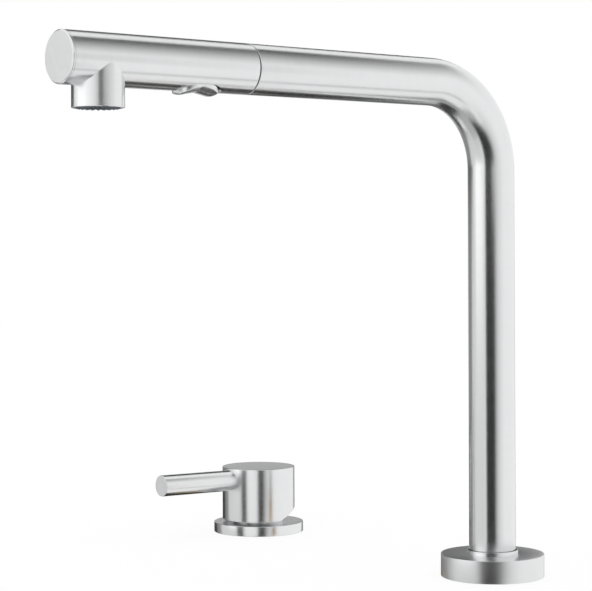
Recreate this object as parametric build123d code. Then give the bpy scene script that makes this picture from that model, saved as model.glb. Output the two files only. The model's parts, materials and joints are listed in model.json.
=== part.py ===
from build123d import *
from math import asin, cos, degrees, pi, radians, sin, sqrt, tan
import os

os.makedirs("parts", exist_ok=True)

# A two-hole kitchen tap: a swivelling spout with a pull-out spray handset, and a separate lever mixer.
# Sizes are in millimetres. +Z is up and the arm points along -Y.
# The origin is the centre of the spout's foot, on the worktop's surface.

# Clearances that every fit is made from
running_gap = 0.05
passing_gap = 0.3
closing_gap = 0.05
edge_chamfer = 0.4
# How far a cutting shape runs past what it cuts
past = 1.0

# Spout tube: a 25 mm tube bent once
tube_diameter = 25.0
tube_wall = 1.5
arm_height = 264.0
arm_reach = 270.0
bend_radius = 45.0
swivel_limit = 70.0

# Worktop fixing, the same for both shanks, for a 35 mm hole
worktop_thickness = 30.0
shank_diameter = 33.0
shank_end_length = 12.0
thread_relief_width = 1.5
thread_relief_depth = 1.0
fixing_gasket_height = 2.0
fixing_washer_height = 2.0
fixing_washer_diameter = 46.0
fixing_nut_height = 10.0
fixing_nut_flats = 41.0

# Rosettes that cover the holes
rosette_diameter = 55.5
rosette_wall = 3.25
spout_rosette_height = 12.0
spout_rosette_top = 3.0
mixer_rosette_height = 6.0
mixer_rosette_top = 2.5
flange_gap = 0.2

# Spout's swivel seat inside its rosette
spout_gasket_height = 2.0
spout_flange_height = 3.0
bearing_wall = 1.05
bearing_length = 9.0
seat_ledge = 2.0
thrust_washer_height = 1.1
support_ring_height = 1.6
support_ring_width = 3.2
support_groove_depth = 0.5
support_ring_split = 2.0
hub_wall = 3.9
stop_pin_diameter = 1.4
stop_pin_reach = 1.8
stop_pin_inset = 1.0
collar_wall = 0.55
collar_gap = 0.65
collar_stand = 2.2
collar_flange = 1.7
collar_flange_height = 0.75
tube_foot_inset = 8.5
oring_pitch = 16.0

# Pull-out handset
handset_length = 105.0
joint_gap = 0.65
front_cap_thickness = 1.8
front_chamfer = 0.7
front_spigot_length = 4.0
nozzle_setback = 21.0
nozzle_diameter = 24.6
nozzle_wall = 1.4
nozzle_drop = 22.4
core_gap = 0.2
joint_ring_inset = 0.6

# Docking tail and hose
docking_sleeve_wall = 1.65
docking_length = 26.0
tail_length = 19.0
key_width = 2.4
key_height = 1.0
key_length = 7.0
oring_thickness = 0.94
oring_groove_play = 0.1
docking_oring_inset = 4.0
docking_oring_pitch = 5.0
thread_spigot_length = 8.0
hose_nut_wall = 2.3
hose_nut_length = 22.0
hose_nut_grip = 7.0
hose_diameter = 12.5
hose_bore = 8.0
hose_end_drop = 13.5
ferrule_wall = 2.15
ferrule_length = 15.0
ferrule_lip = 2.0
hose_thread_diameter = 15.0
hose_thread_length = 12.0
hose_guide_length = 8.0
hose_guide_flange = 2.0
hose_guide_gap = 0.65

# Wavy rocker under the handset, set from its rear end; heights are below the arm's centre line
toggle_setback = 29.5
toggle_pivot_drop = 4.5
toggle_turn = 10.0
toggle_front = 11.8
toggle_rear = 11.6
toggle_half_width = 8.0
toggle_slot_side = 0.25
toggle_slot_front = 0.5
toggle_slot_rear = 1.55
toggle_top_drop = 8.3
front_lobe_radius = 2.5
front_lobe_depth = 14.3
rear_lobe_radius = 3.7
rear_lobe_depth = 14.4
valley_depth = 12.8
hub_radius = 2.6
hub_half_length = 6.0
toggle_pin_diameter = 2.0
finger_height = 6.0
finger_width = 2.8
finger_thickness = 1.9
finger_neck = 1.25

# Diverter inside the handset
spool_diameter = 7.0
spool_length = 26.0
spool_rise = 2.0
spool_slot_gap = 0.12
spool_waist = 1.3
spool_land = 3.0
rear_waist_length = 6.0
front_waist_length = 5.0
spring_wire = 0.6
spring_turns = 5
spring_length = 6.4
spool_oring_thickness = 0.64
spool_oring_inset = 1.5
spool_middle_oring = 3.5

# Waterways in the handset's core
inlet_diameter = 9.0
inlet_chamber_length = 3.0
inlet_overlap = 2.25
stream_channel = 5.0
spray_channel = 3.0
spray_channel_rise = 8.4
spray_channel_start = 4.2
valve_length = 9.0
valve_ring = 1.5
valve_hole_diameter = 2.3
filter_thickness = 1.0
filter_hole_diameter = 0.8
filter_rows = ((1.2, 6), (2.7, 12))

# Spray face
core_drop = 13.0
spray_plate_height = 4.5
spray_plate_floor = 2.25
spray_plate_wall = 0.6
spray_plate_hole = 1.0
spray_face_inset = 0.7
aerator_diameter = 12.6
aerator_wall = 1.0
grid_bar = 0.7
grid_pitch = 2.4
grid_depth = 2.4
nub_diameter = 2.0
nub_tip_diameter = 1.7
nub_bore = 0.5
nub_length = 1.2
nub_rows = (22, 22)
nub_row_inset = 1.2

# Mixer stands beside the spout
mixer_spacing = 209.0
lever_turn = 0.0
mixer_gasket_height = 1.5
neck_diameter = 31.0
neck_top = 19.0
cartridge_diameter = 25.0
cartridge_shell = 0.9
cartridge_floor = -6.0
cartridge_base_height = 4.0
seal_height = 1.0
seal_wall = 0.8
port_circle_radius = 7.0
port_diameter = 5.5
port_thread_diameter = 9.0
port_thread_length = 12.0
port_angles = (150, 30, 270)
disc_height = 2.5
moving_disc_height = 2.0
moving_disc_diameter = 16.8
mixing_pocket_depth = 1.2
mixing_pocket_margin = 2.4
carrier_height = 4.9
housing_top = 16.5
housing_lip_height = 1.0
turret_neck_diameter = 18.04
turret_top = 21.0
turret_gap = 0.07
turret_play = 0.15
nut_thread_wall = 1.5
nut_flange_height = 2.3
nut_bore_gap = 0.38
nut_notch = 3.0
nut_notches = 6

# Mixer handle
cap_diameter = 45.0
cap_wall = 2.5
cap_top_thickness = 4.0
cap_bottom = 7.8
cap_top = 40.2
lift_limit = 20.0
lift_cut_angle = 22.0
lift_cut_start = 1.3
pivot_height = 18.0
pivot_pin_diameter = 2.5
stem_square = 6.0
stem_neck = 2.2
stem_tip_diameter = 3.2
stem_tip_length = 5.0
stem_tip_height = 6.0
stem_tip_gap = 0.24
stem_top = 34.0
stem_shoulder = 14.5
boss_diameter = 16.0
boss_bottom = 26.5
lever_diameter = 12.7
lever_height = 32.5
lever_rise = 0.9
lever_reach = 73.3
lever_spigot_diameter = 7.0
lever_chamfer = 0.5
grub_screw_diameter = 5.0
grub_screw_length = 5.4
grub_screw_height = 31.0
screw_socket_depth = 2.5
screw_socket_width = 2.5
screw_cover_diameter = 6.0
screw_cover_length = 3.0

# Sizes that follow from the ones above
tube_radius = tube_diameter / 2
tube_bore = tube_radius - tube_wall
shank_radius = shank_diameter / 2
rosette_radius = rosette_diameter / 2
cavity_radius = rosette_radius - rosette_wall
flange_radius = cavity_radius - flange_gap
arm_end = -(arm_reach - handset_length - joint_gap)
handset_rear = -(arm_reach - handset_length)
handset_front = -arm_reach
nozzle_y = -(arm_reach - nozzle_setback)
nozzle_rim = arm_height - nozzle_drop
nut_bottom = -(worktop_thickness + fixing_gasket_height + fixing_washer_height + fixing_nut_height)
relief_top = nut_bottom - thread_relief_width / 2
relief_bottom = relief_top - thread_relief_width
shank_bottom = relief_bottom - shank_end_length
mixer_x = -mixer_spacing


def post(radius, low, high, x=0.0, y=0.0):
    """An upright cylinder between two heights."""
    return Pos(x, y, (low + high) / 2) * Cylinder(radius, high - low)


def ring(outer, inner, low, high, x=0.0, y=0.0):
    """An upright tube between two heights."""
    return post(outer, low, high, x, y) - post(inner, low - past, high + past, x, y)


def bar(radius, back, front, z=arm_height, x=0.0):
    """A cylinder along the arm, from its back end to its front end."""
    return Pos(x, (back + front) / 2, z) * Rot(90, 0, 0) * Cylinder(radius, back - front)


def sleeve(outer, inner, back, front, z=arm_height):
    """A tube along the arm."""
    return bar(outer, back, front, z) - bar(inner, back + past, front - past, z)


def cross_pin(radius, half_length, y, z):
    """A cylinder across the arm, centred on its middle plane."""
    return Pos(0, y, z) * Rot(0, 90, 0) * Cylinder(radius, 2 * half_length)


def block(x0, x1, y0, y1, z0, z1):
    """A box between two corners."""
    return Pos((x0 + x1) / 2, (y0 + y1) / 2, (z0 + z1) / 2) * Box(x1 - x0, y1 - y0, z1 - z0)


def oring(middle_radius, thickness, low):
    """A round rubber ring lying flat, its underside at the given height."""
    return Pos(0, 0, low + thickness / 2) * Torus(middle_radius, thickness / 2)


def arm_oring(middle_radius, thickness, y, z=arm_height):
    """A round rubber ring about the arm's direction."""
    return Pos(0, y, z) * Rot(90, 0, 0) * Torus(middle_radius, thickness / 2)


def bent_bar(radius, foot, end):
    """A solid bar that follows the spout's centre line from its foot to its arm's end."""
    bend_start = arm_height - bend_radius
    profile = Pos(0, 0, bend_start) * Circle(radius)
    bend_axis = Axis((0, -bend_radius, bend_start), (1, 0, 0))
    bend = revolve(profile, bend_axis, revolution_arc=90)
    return post(radius, foot, bend_start) + bend + bar(radius, -bend_radius, end)


def circles_of(part, radius, axis, last=True, tolerance=0.01):
    """The circular edges of one radius that lie furthest along an axis, or least far."""
    found = part.edges().filter_by(GeomType.CIRCLE)
    found = found.filter_by(lambda edge: abs(edge.radius - radius) < tolerance)
    return found.group_by(axis)[-1 if last else 0]


def one_node(solids):
    """Several separate solids that share one node."""
    return Compound(children=list(solids))


# Spout seat heights, from the worktop up
spout_ceiling = spout_rosette_height - spout_rosette_top
spout_flange_top = spout_gasket_height + spout_flange_height
shank_bore = tube_radius + running_gap + bearing_wall
seat_radius = shank_bore + seat_ledge
collar_flange_bottom = spout_ceiling - collar_flange_height
ring_high = collar_flange_bottom - passing_gap
ring_low = ring_high - support_ring_height
seat_floor = ring_low - closing_gap - thrust_washer_height
groove_radius = tube_radius - support_groove_depth
support_radius = groove_radius + support_ring_width
collar_inner = tube_radius + collar_gap
collar_outer = collar_inner + collar_wall
tube_foot = shank_bottom + tube_foot_inset


def spout_rosette():
    cover = post(rosette_radius, 0, spout_rosette_height)
    cover -= post(cavity_radius, -past, spout_ceiling)
    cover -= post(collar_outer, -past, spout_rosette_height + past)
    return chamfer(circles_of(cover, rosette_radius, Axis.Z), edge_chamfer)


def collar_ring():
    collar = ring(collar_outer, collar_inner, spout_ceiling, spout_rosette_height + collar_stand)
    rim = collar_outer + collar_flange
    return collar + ring(rim, collar_inner, collar_flange_bottom, spout_ceiling)


def threaded_shank(top):
    """The clamped part of a shank, down from its flange, with the relief groove below its nut."""
    shank = post(shank_radius, shank_bottom, top)
    groove = ring(shank_radius + past, shank_radius - thread_relief_depth, relief_bottom, relief_top)
    return chamfer(circles_of(shank - groove, shank_radius, Axis.Z, last=False), edge_chamfer)


def stop_slot():
    """The arc that the stop pin travels in, with a little play past each end."""
    pin_radius = stop_pin_diameter / 2
    inner = shank_bore
    outer = support_radius + stop_pin_reach + passing_gap
    low = (ring_low + ring_high) / 2 - pin_radius - passing_gap
    high = spout_ceiling
    play = degrees(asin((pin_radius + closing_gap) / support_radius))
    half_angle = swivel_limit + play
    profile = Plane.XZ * Pos((inner + outer) / 2, (low + high) / 2) * Rectangle(outer - inner, high - low)
    return Rot(0, 0, 90 - half_angle) * revolve(profile, Axis.Z, revolution_arc=2 * half_angle)


def spout_shank():
    shank = threaded_shank(spout_gasket_height)
    shank += post(flange_radius, spout_gasket_height, spout_flange_top)
    shank += post(seat_radius + hub_wall, spout_flange_top, spout_ceiling)
    shank -= post(shank_bore, shank_bottom - past, spout_ceiling + past)
    shank -= post(seat_radius, seat_floor, spout_ceiling + past)
    return shank - stop_slot()


def bearing(low):
    return ring(shank_bore, tube_radius + running_gap, low, low + bearing_length)


def thrust_washer():
    return ring(seat_radius, tube_radius + passing_gap, seat_floor, seat_floor + thrust_washer_height)


def flat_gasket(height):
    return ring(flange_radius, shank_radius + passing_gap, 0, height)


def fixing_gasket():
    top = -worktop_thickness
    return ring(fixing_washer_diameter / 2, shank_radius + passing_gap, top - fixing_gasket_height, top)


def fixing_washer():
    top = -worktop_thickness - fixing_gasket_height
    return ring(fixing_washer_diameter / 2, shank_radius + passing_gap, top - fixing_washer_height, top)


def fixing_nut():
    corner_radius = fixing_nut_flats / 2 / cos(radians(30))
    hexagon = RegularPolygon(corner_radius, 6)
    nut = Pos(0, 0, nut_bottom) * extrude(hexagon, fixing_nut_height)
    return nut - post(shank_radius, nut_bottom - past, nut_bottom + fixing_nut_height + past)


def spout_tube():
    tube = bent_bar(tube_radius, tube_foot, arm_end)
    tube -= bent_bar(tube_bore, tube_foot - past, arm_end - past)
    return tube - ring(tube_radius + past, groove_radius, ring_low, ring_high)


def stop_pin():
    middle = (ring_low + ring_high) / 2
    tip = support_radius + stop_pin_reach
    return bar(stop_pin_diameter / 2, tip, groove_radius + stop_pin_inset, middle)


def support_ring():
    body = ring(support_radius, groove_radius, ring_low, ring_high)
    half_split = support_ring_split / 2
    body -= block(-half_split, half_split, -support_radius - past, 0, ring_low - past, ring_high + past)
    return body - stop_pin()


def swivel_orings():
    thickness = bearing_wall - running_gap
    middle_radius = tube_radius + running_gap / 2 + thickness / 2
    upper = -oring_pitch
    return one_node(oring(middle_radius, thickness, low) for low in (upper, upper - oring_pitch))


# Docking places along the arm
sleeve_outer = tube_bore
sleeve_inner = sleeve_outer - docking_sleeve_wall
tail_radius = sleeve_inner - passing_gap
tail_back = handset_rear + tail_length
spigot_back = tail_back + thread_spigot_length
hose_radius = hose_diameter / 2
nut_inner = hose_radius + 2 * running_gap
nut_outer = nut_inner + hose_nut_wall
hose_front = spigot_back + closing_gap
hose_bottom = shank_bottom - hose_end_drop


def docking_key(gap):
    """The rib on the tail that keeps the handset upright, or the groove that it runs in."""
    half_width = key_width / 2 + gap
    top = arm_height + tail_radius + key_height + gap
    back = handset_rear + key_length + gap
    return block(-half_width, half_width, handset_rear - gap, back, arm_height + tail_radius - past, top)


def docking_sleeve():
    body = bar(sleeve_outer, arm_end + docking_length, arm_end)
    body += bar(tube_radius - joint_ring_inset, arm_end, handset_rear + closing_gap)
    body -= bar(sleeve_inner, arm_end + docking_length + past, handset_rear - past)
    return body - docking_key(passing_gap)


def pull_out_hose():
    hose = bent_bar(hose_radius, hose_bottom, hose_front)
    return hose - bent_bar(hose_bore / 2, hose_bottom - past, hose_front - past)


def hose_end_fitting():
    ferrule_bottom = hose_bottom - ferrule_lip
    ferrule_top = ferrule_bottom + ferrule_length
    thread_bottom = ferrule_bottom - hose_thread_length
    fitting = post(hose_radius + ferrule_wall, ferrule_bottom, ferrule_top)
    fitting += post(hose_thread_diameter / 2, thread_bottom, ferrule_bottom)
    fitting -= post(hose_radius, hose_bottom, ferrule_top + past)
    return fitting - post(hose_bore / 2, thread_bottom - past, ferrule_top + past)


def hose_guide():
    guide = post(tube_bore, tube_foot, tube_foot + hose_guide_length)
    guide += post(tube_radius, tube_foot - hose_guide_flange, tube_foot)
    bore = hose_radius + hose_guide_gap
    return guide - post(bore, tube_foot - hose_guide_flange - past, tube_foot + hose_guide_length + past)


# Rocker places; its pivot is the centre that everything around it is set from
pivot_y = handset_rear - toggle_setback
pivot_z = arm_height - toggle_pivot_drop
toggle_front_y = pivot_y - toggle_front
toggle_rear_y = pivot_y + toggle_rear
finger_tip_z = pivot_z + finger_height
spool_z = finger_tip_z + spool_rise
spool_radius = spool_diameter / 2
spool_bore = spool_radius + running_gap
spool_front = pivot_y - spool_length / 2
spool_rear = pivot_y + spool_length / 2
chamber_front = spool_front - spring_length
chamber_rear = spool_rear + inlet_chamber_length
core_front = handset_front + front_cap_thickness + front_spigot_length
core_radius = tube_bore - core_gap


def long_hole(front, rear, half_width, low, high):
    """An upright prism with two straight sides and two round ends."""
    middle = (front + rear) / 2
    outline = Rot(0, 0, 90) * SlotOverall(rear - front, 2 * half_width)
    return Pos(0, middle, low) * extrude(outline, high - low)


def rocker_slot(extra, low, high):
    front = toggle_front_y - toggle_slot_front - extra
    rear = toggle_rear_y + toggle_slot_rear + extra
    return long_hole(front, rear, toggle_half_width + toggle_slot_side + extra, low, high)


def handset_shell():
    shell = bar(tube_radius, handset_rear, handset_front + front_cap_thickness)
    shell += post(nozzle_diameter / 2, nozzle_rim, arm_height, 0, nozzle_y)
    shell -= bar(tube_bore, handset_rear + past, handset_front + front_cap_thickness - past)
    shell -= post(nozzle_diameter / 2 - nozzle_wall, nozzle_rim - past, arm_height, 0, nozzle_y)
    return shell - rocker_slot(0, arm_height - tube_radius - past, arm_height - toggle_pivot_drop)


def front_cap():
    cap = bar(tube_radius, handset_front + front_cap_thickness, handset_front)
    cap = chamfer(circles_of(cap, tube_radius, Axis.Y, last=False), front_chamfer)
    return cap + bar(tube_bore, core_front, handset_front + front_cap_thickness)


def waterway_core():
    nozzle_core = nozzle_diameter / 2 - nozzle_wall - core_gap
    core = bar(core_radius, handset_rear, core_front + closing_gap)
    core += post(nozzle_core, arm_height - core_drop, arm_height, 0, nozzle_y)
    core += bar(tail_radius, tail_back, handset_rear)
    core += bar(hose_radius, spigot_back, tail_back)
    core += docking_key(0)
    groove_floor = sleeve_inner - oring_thickness - 2 * running_gap
    half_groove = oring_thickness / 2 + oring_groove_play
    for y in docking_oring_places():
        core -= sleeve(tail_radius + past, groove_floor, y + half_groove, y - half_groove)
    # the water comes in along the tail and reaches the spool's chamber
    core -= bar(hose_bore / 2, spigot_back + past, handset_rear)
    core -= bar(inlet_diameter / 2, handset_rear + valve_length, chamber_rear - inlet_overlap)
    core -= bar(spool_bore, chamber_rear, chamber_front, spool_z)
    # the stream's channel runs to the middle of the nozzle
    core -= bar(stream_channel / 2, chamber_front, nozzle_y, spool_z)
    core -= post(stream_channel / 2, arm_height - core_drop - past, spool_z, 0, nozzle_y)
    # the spray's channel runs above it to the ring of nubs
    spray_radius = spray_channel / 2
    spray_z = arm_height + spray_channel_rise
    spray_start = spool_front + spray_channel_start
    spray_end = nozzle_y - chamber_middle
    core -= post(spray_radius, spool_z, spray_z, 0, spray_start)
    core -= bar(spray_radius, spray_start, spray_end, spray_z)
    core -= post(spray_radius, arm_height - core_drop - past, spray_z, 0, spray_end)
    # the rocker's pocket, its hub's recess, its finger's slit and its pin's hole
    toggle_end = max(toggle_front, toggle_rear)
    top_below_pivot = toggle_top_drop - toggle_pivot_drop
    turn = radians(toggle_turn)
    pocket_top = pivot_z - top_below_pivot * cos(turn) + toggle_end * sin(turn) + passing_gap
    core -= rocker_slot(passing_gap, arm_height - tube_radius, pocket_top)
    hub_room = hub_radius + passing_gap
    hub_side = hub_half_length + passing_gap
    hub_swing = hub_room / cos(turn) + (pivot_z - pocket_top) * tan(turn)
    core -= block(-hub_side, hub_side, pivot_y - hub_room, pivot_y + hub_swing, pocket_top - past, pivot_z)
    core -= cross_pin(hub_room, hub_side, pivot_y, pivot_z)
    finger_side = finger_width / 2 + passing_gap
    slit_front = pivot_y - finger_travel - finger_thickness / 2 - passing_gap
    slit_rear = pivot_y + finger_thickness / 2 + passing_gap
    core -= block(-finger_side, finger_side, slit_front, slit_rear, pivot_z, spool_z)
    return core - cross_pin(toggle_pin_diameter / 2, core_radius, pivot_y, pivot_z)


def docking_oring_places():
    first = tail_back - docking_oring_inset
    return (first, first - docking_oring_pitch)


def docking_orings():
    middle_radius = sleeve_inner - running_gap - oring_thickness / 2
    return one_node(arm_oring(middle_radius, oring_thickness, y) for y in docking_oring_places())


def hose_nut():
    nut_back = tail_back + hose_nut_length
    nut = sleeve(nut_outer, nut_inner, nut_back, tail_back)
    flats = RegularPolygon(nut_outer, 6)
    hexagon = Pos(0, nut_back, arm_height) * Rot(90, 0, 0) * extrude(flats, hose_nut_grip)
    outside = bar(nut_outer + past, nut_back, nut_back - hose_nut_grip) - hexagon
    return nut - outside


def non_return_valve():
    """A small sealed valve in the inlet: a ring, a middle stem and the ribs between them."""
    front = handset_rear
    back = handset_rear + valve_length
    outer = inlet_diameter / 2
    body = bar(outer, back, front)
    hole = valve_hole_diameter / 2
    hole_place = outer - valve_ring - hole
    for angle in range(45, 360, 90):
        x = hole_place * cos(radians(angle))
        z = arm_height + hole_place * sin(radians(angle))
        body -= bar(hole, back + past, front - past, z, x)
    return body


def inlet_filter():
    """The sieve in the tail's bore, just behind the valve."""
    front = handset_rear + valve_length
    body = bar(hose_bore / 2, front + filter_thickness, front)
    for row_radius, count in filter_rows:
        for i in range(count):
            angle = 2 * pi * i / count
            x = row_radius * cos(angle)
            z = arm_height + row_radius * sin(angle)
            body -= bar(filter_hole_diameter / 2, front + filter_thickness + past, front - past, z, x)
    return body


def toggle_pin():
    lowest = toggle_pivot_drop + toggle_pin_diameter / 2
    return cross_pin(toggle_pin_diameter / 2, sqrt(core_radius ** 2 - lowest ** 2), pivot_y, pivot_z)


# How far the rocker's finger pushes the spool at full turn
finger_travel = finger_height * radians(toggle_turn)


def rocker_wave():
    """The rocker's wavy underside, turned about the arm's centre line."""
    front_lobe_y = toggle_front_y + front_lobe_radius
    rear_lobe_y = toggle_rear_y - rear_lobe_radius
    front_side = front_lobe_depth - front_lobe_radius
    rear_side = rear_lobe_depth - rear_lobe_radius
    diagonal = sqrt(0.5)
    front_arc_y = front_lobe_y - front_lobe_radius * diagonal
    rear_arc_y = rear_lobe_y + rear_lobe_radius * diagonal
    front_arc = (front_arc_y, front_side + front_lobe_radius * diagonal)
    rear_arc = (rear_arc_y, rear_side + rear_lobe_radius * diagonal)
    valley_y = (front_lobe_y + rear_lobe_y) / 2
    inside = toggle_top_drop / 2
    start = (toggle_front_y, inside)
    corner = (toggle_rear_y, inside)
    outline = Line(start, (toggle_front_y, front_side))
    outline += ThreePointArc((toggle_front_y, front_side), front_arc, (front_lobe_y, front_lobe_depth))
    outline += Line((front_lobe_y, front_lobe_depth), (valley_y, valley_depth))
    outline += Line((valley_y, valley_depth), (rear_lobe_y, rear_lobe_depth))
    outline += ThreePointArc((rear_lobe_y, rear_lobe_depth), rear_arc, (toggle_rear_y, rear_side))
    outline += Line((toggle_rear_y, rear_side), corner)
    outline += Line(corner, start)
    # the sketch's first direction is the arm's, its second points away from the centre line
    section = Plane((0, 0, arm_height), x_dir=(0, 1, 0), z_dir=(-1, 0, 0)) * make_face(outline)
    return revolve(section, Axis((0, 0, arm_height), (0, 1, 0)), revolution_arc=360)


def toggle():
    low = arm_height - max(front_lobe_depth, rear_lobe_depth) - past
    high = arm_height - toggle_top_drop
    rocker = long_hole(toggle_front_y, toggle_rear_y, toggle_half_width, low, high) & rocker_wave()
    hub = hub_half_length
    rocker += block(-hub, hub, pivot_y - hub_radius, pivot_y + hub_radius, high, pivot_z)
    rocker += cross_pin(hub_radius, hub, pivot_y, pivot_z)
    half_width = finger_width / 2
    half_neck = finger_neck / 2
    rocker += block(-half_width, half_width, pivot_y - half_neck, pivot_y + half_neck, pivot_z, finger_tip_z)
    rocker += cross_pin(finger_thickness / 2, half_width, pivot_y, finger_tip_z)
    return rocker - cross_pin(toggle_pin_diameter / 2 + running_gap, hub + past, pivot_y, pivot_z)


def spool_oring_places():
    return (spool_rear - spool_oring_inset, pivot_y - spool_middle_oring, spool_front + spool_oring_inset)


def diverter_spool():
    spool = bar(spool_radius, spool_rear, spool_front, spool_z)
    half_groove = spool_oring_thickness / 2 + oring_groove_play
    inner = spool_radius - spool_oring_thickness
    for y in spool_oring_places():
        spool -= sleeve(spool_radius + past, inner, y + half_groove, y - half_groove, spool_z)
    waist_radius = spool_radius - spool_waist
    side = spool_radius + past
    rear_waist = spool_rear - spool_land
    front_waist = spool_front + spool_land
    spool -= sleeve(side, waist_radius, rear_waist, rear_waist - rear_waist_length, spool_z)
    spool -= sleeve(side, waist_radius, front_waist + front_waist_length, front_waist, spool_z)
    slot_half = finger_thickness / 2 + spool_slot_gap
    slot_top = finger_tip_z + finger_thickness / 2 + passing_gap
    return spool - block(-side, side, pivot_y - slot_half, pivot_y + slot_half, spool_z - side, slot_top)


def spool_orings():
    middle_radius = spool_radius - spool_oring_thickness / 2
    places = spool_oring_places()
    return one_node(arm_oring(middle_radius, spool_oring_thickness, y, spool_z) for y in places)


def spool_spring():
    """The small spring that brings the spool and the rocker back."""
    coil_radius = spool_bore - spring_wire / 2 - 2 * running_gap
    free = spring_length - spring_wire - 2 * running_gap
    path = Helix(free / spring_turns, free, coil_radius)
    section = Plane(path @ 0, z_dir=path % 0) * Circle(spring_wire / 2)
    coil = sweep(section, path, is_frenet=True)
    start = chamber_front + spring_wire / 2 + running_gap
    return Pos(0, start, spool_z) * Rot(-90, 0, 0) * coil


# Spray face heights and rows
plate_top = arm_height - core_drop
plate_bottom = plate_top - spray_plate_height
face_bottom = nozzle_rim + spray_face_inset
face_radius = nozzle_diameter / 2 - nozzle_wall - core_gap
aerator_radius = aerator_diameter / 2
face_inner = aerator_radius + core_gap
chamber_middle = (face_inner + face_radius) / 2


def nub_places():
    """The nubs' places in the nozzle, row by row."""
    rows = (face_inner + nub_row_inset, face_radius - nub_row_inset)
    places = []
    for row_radius, count in zip(rows, nub_rows):
        for i in range(count):
            angle = 2 * pi * i / count
            places.append((row_radius * cos(angle), nozzle_y + row_radius * sin(angle)))
    return places


def spray_plate():
    plate = ring(face_radius, face_inner, plate_bottom, plate_top, 0, nozzle_y)
    chamber_outer = face_radius - spray_plate_wall
    chamber_inner = face_inner + spray_plate_wall
    chamber_floor = plate_bottom + spray_plate_floor
    plate -= ring(chamber_outer, chamber_inner, chamber_floor, plate_top + past, 0, nozzle_y)
    for x, y in nub_places():
        plate -= post(spray_plate_hole / 2, plate_bottom - past, plate_top + past, x, y)
    return plate


def spray_face():
    face = ring(face_radius, face_inner, face_bottom, plate_bottom, 0, nozzle_y)
    for x, y in nub_places():
        cone = Cone(nub_tip_diameter / 2, nub_diameter / 2, nub_length)
        face += Pos(x, y, face_bottom - nub_length / 2) * cone
        face -= post(nub_bore / 2, face_bottom - nub_length - past, plate_bottom + past, x, y)
    return face


def aerator_insert():
    inner = aerator_radius - aerator_wall
    body = post(aerator_radius, face_bottom, plate_top, 0, nozzle_y)
    body -= post(inner, face_bottom + grid_depth, plate_top - aerator_wall, 0, nozzle_y)
    body -= post(stream_channel / 2, plate_top - aerator_wall - past, plate_top + past, 0, nozzle_y)
    count = int(inner / grid_pitch)
    cell = grid_pitch - grid_bar
    half_diagonal = cell * sqrt(0.5)
    hole = Box(cell, cell, 2 * (grid_depth + past))
    for i in range(-count, count + 1):
        for j in range(-count, count + 1):
            if sqrt(i * i + j * j) * grid_pitch + half_diagonal < inner:
                body -= Pos(i * grid_pitch, nozzle_y + j * grid_pitch, face_bottom) * hole
    return body


# Mixer places; the pieces are made round the Z axis and then moved beside the spout
neck_radius = neck_diameter / 2
cartridge_radius = cartridge_diameter / 2
mixer_ceiling = mixer_rosette_height - mixer_rosette_top
base_top = cartridge_floor + cartridge_base_height
fixed_disc_top = base_top + disc_height
moving_disc_bottom = fixed_disc_top + running_gap
carrier_bottom = moving_disc_bottom + moving_disc_height
carrier_top = carrier_bottom + carrier_height
turret_bottom = carrier_top + passing_gap
housing_inner = cartridge_radius - cartridge_shell
turret_shoulder = housing_top - housing_lip_height - turret_play
turret_neck = turret_neck_diameter / 2
tip_radius = stem_tip_diameter / 2
tip_arm = pivot_height - stem_tip_height
disc_travel = tip_arm * radians(lift_limit)
nut_thread_radius = neck_radius - nut_thread_wall


def at_mixer(part):
    """Moves a fixed mixer piece to its place beside the spout."""
    return Pos(mixer_x, 0, 0) * part


def at_lever(part):
    """Moves a moving mixer piece to its place, turned as the lever is."""
    return Pos(mixer_x, 0, 0) * Rot(0, 0, lever_turn) * part


def port_places():
    """The middles of the hot inlet, the cold inlet and the mixed outlet."""
    return [
        (port_circle_radius * cos(radians(angle)), port_circle_radius * sin(radians(angle)))
        for angle in port_angles
    ]


def mixer_rosette():
    cover = post(rosette_radius, 0, mixer_rosette_height)
    cover -= post(cavity_radius, -past, mixer_ceiling)
    cover -= post(neck_radius + running_gap, -past, mixer_rosette_height + past)
    cover = chamfer(circles_of(cover, rosette_radius, Axis.Z), edge_chamfer)
    return at_mixer(cover)


def mixer_body():
    body = threaded_shank(mixer_gasket_height)
    body += post(flange_radius, mixer_gasket_height, mixer_ceiling)
    body += post(neck_radius, mixer_ceiling, neck_top)
    body -= post(cartridge_radius + running_gap, cartridge_floor, neck_top + past)
    body -= post(nut_thread_radius, housing_top, neck_top + past)
    thread_end = shank_bottom + port_thread_length
    for x, y in port_places():
        body -= post(port_diameter / 2, shank_bottom, cartridge_floor, x, y)
        body -= post(port_diameter / 2 + seal_wall, cartridge_floor - seal_height, cartridge_floor, x, y)
        body -= post(port_thread_diameter / 2, shank_bottom - past, thread_end, x, y)
    return at_mixer(body)


def base_seals():
    inner = port_diameter / 2
    low = cartridge_floor - seal_height
    places = port_places()
    seals = [at_mixer(ring(inner + seal_wall, inner, low, cartridge_floor, x, y)) for x, y in places]
    return one_node(seals)


def drilled(part, radius, low, high):
    for x, y in port_places():
        part -= post(radius, low, high, x, y)
    return part


def cartridge_base():
    base = post(cartridge_radius, cartridge_floor, base_top)
    return at_mixer(drilled(base, port_diameter / 2, cartridge_floor - past, base_top + past))


def fixed_disc():
    disc = post(housing_inner - running_gap, base_top, fixed_disc_top)
    return at_mixer(drilled(disc, port_diameter / 2, base_top - past, fixed_disc_top + past))


def cartridge_housing():
    shell = post(cartridge_radius, base_top, housing_top)
    shell -= post(housing_inner, base_top - past, housing_top - housing_lip_height)
    return at_mixer(shell - post(turret_neck + 2 * running_gap, base_top - past, housing_top + past))


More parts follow.
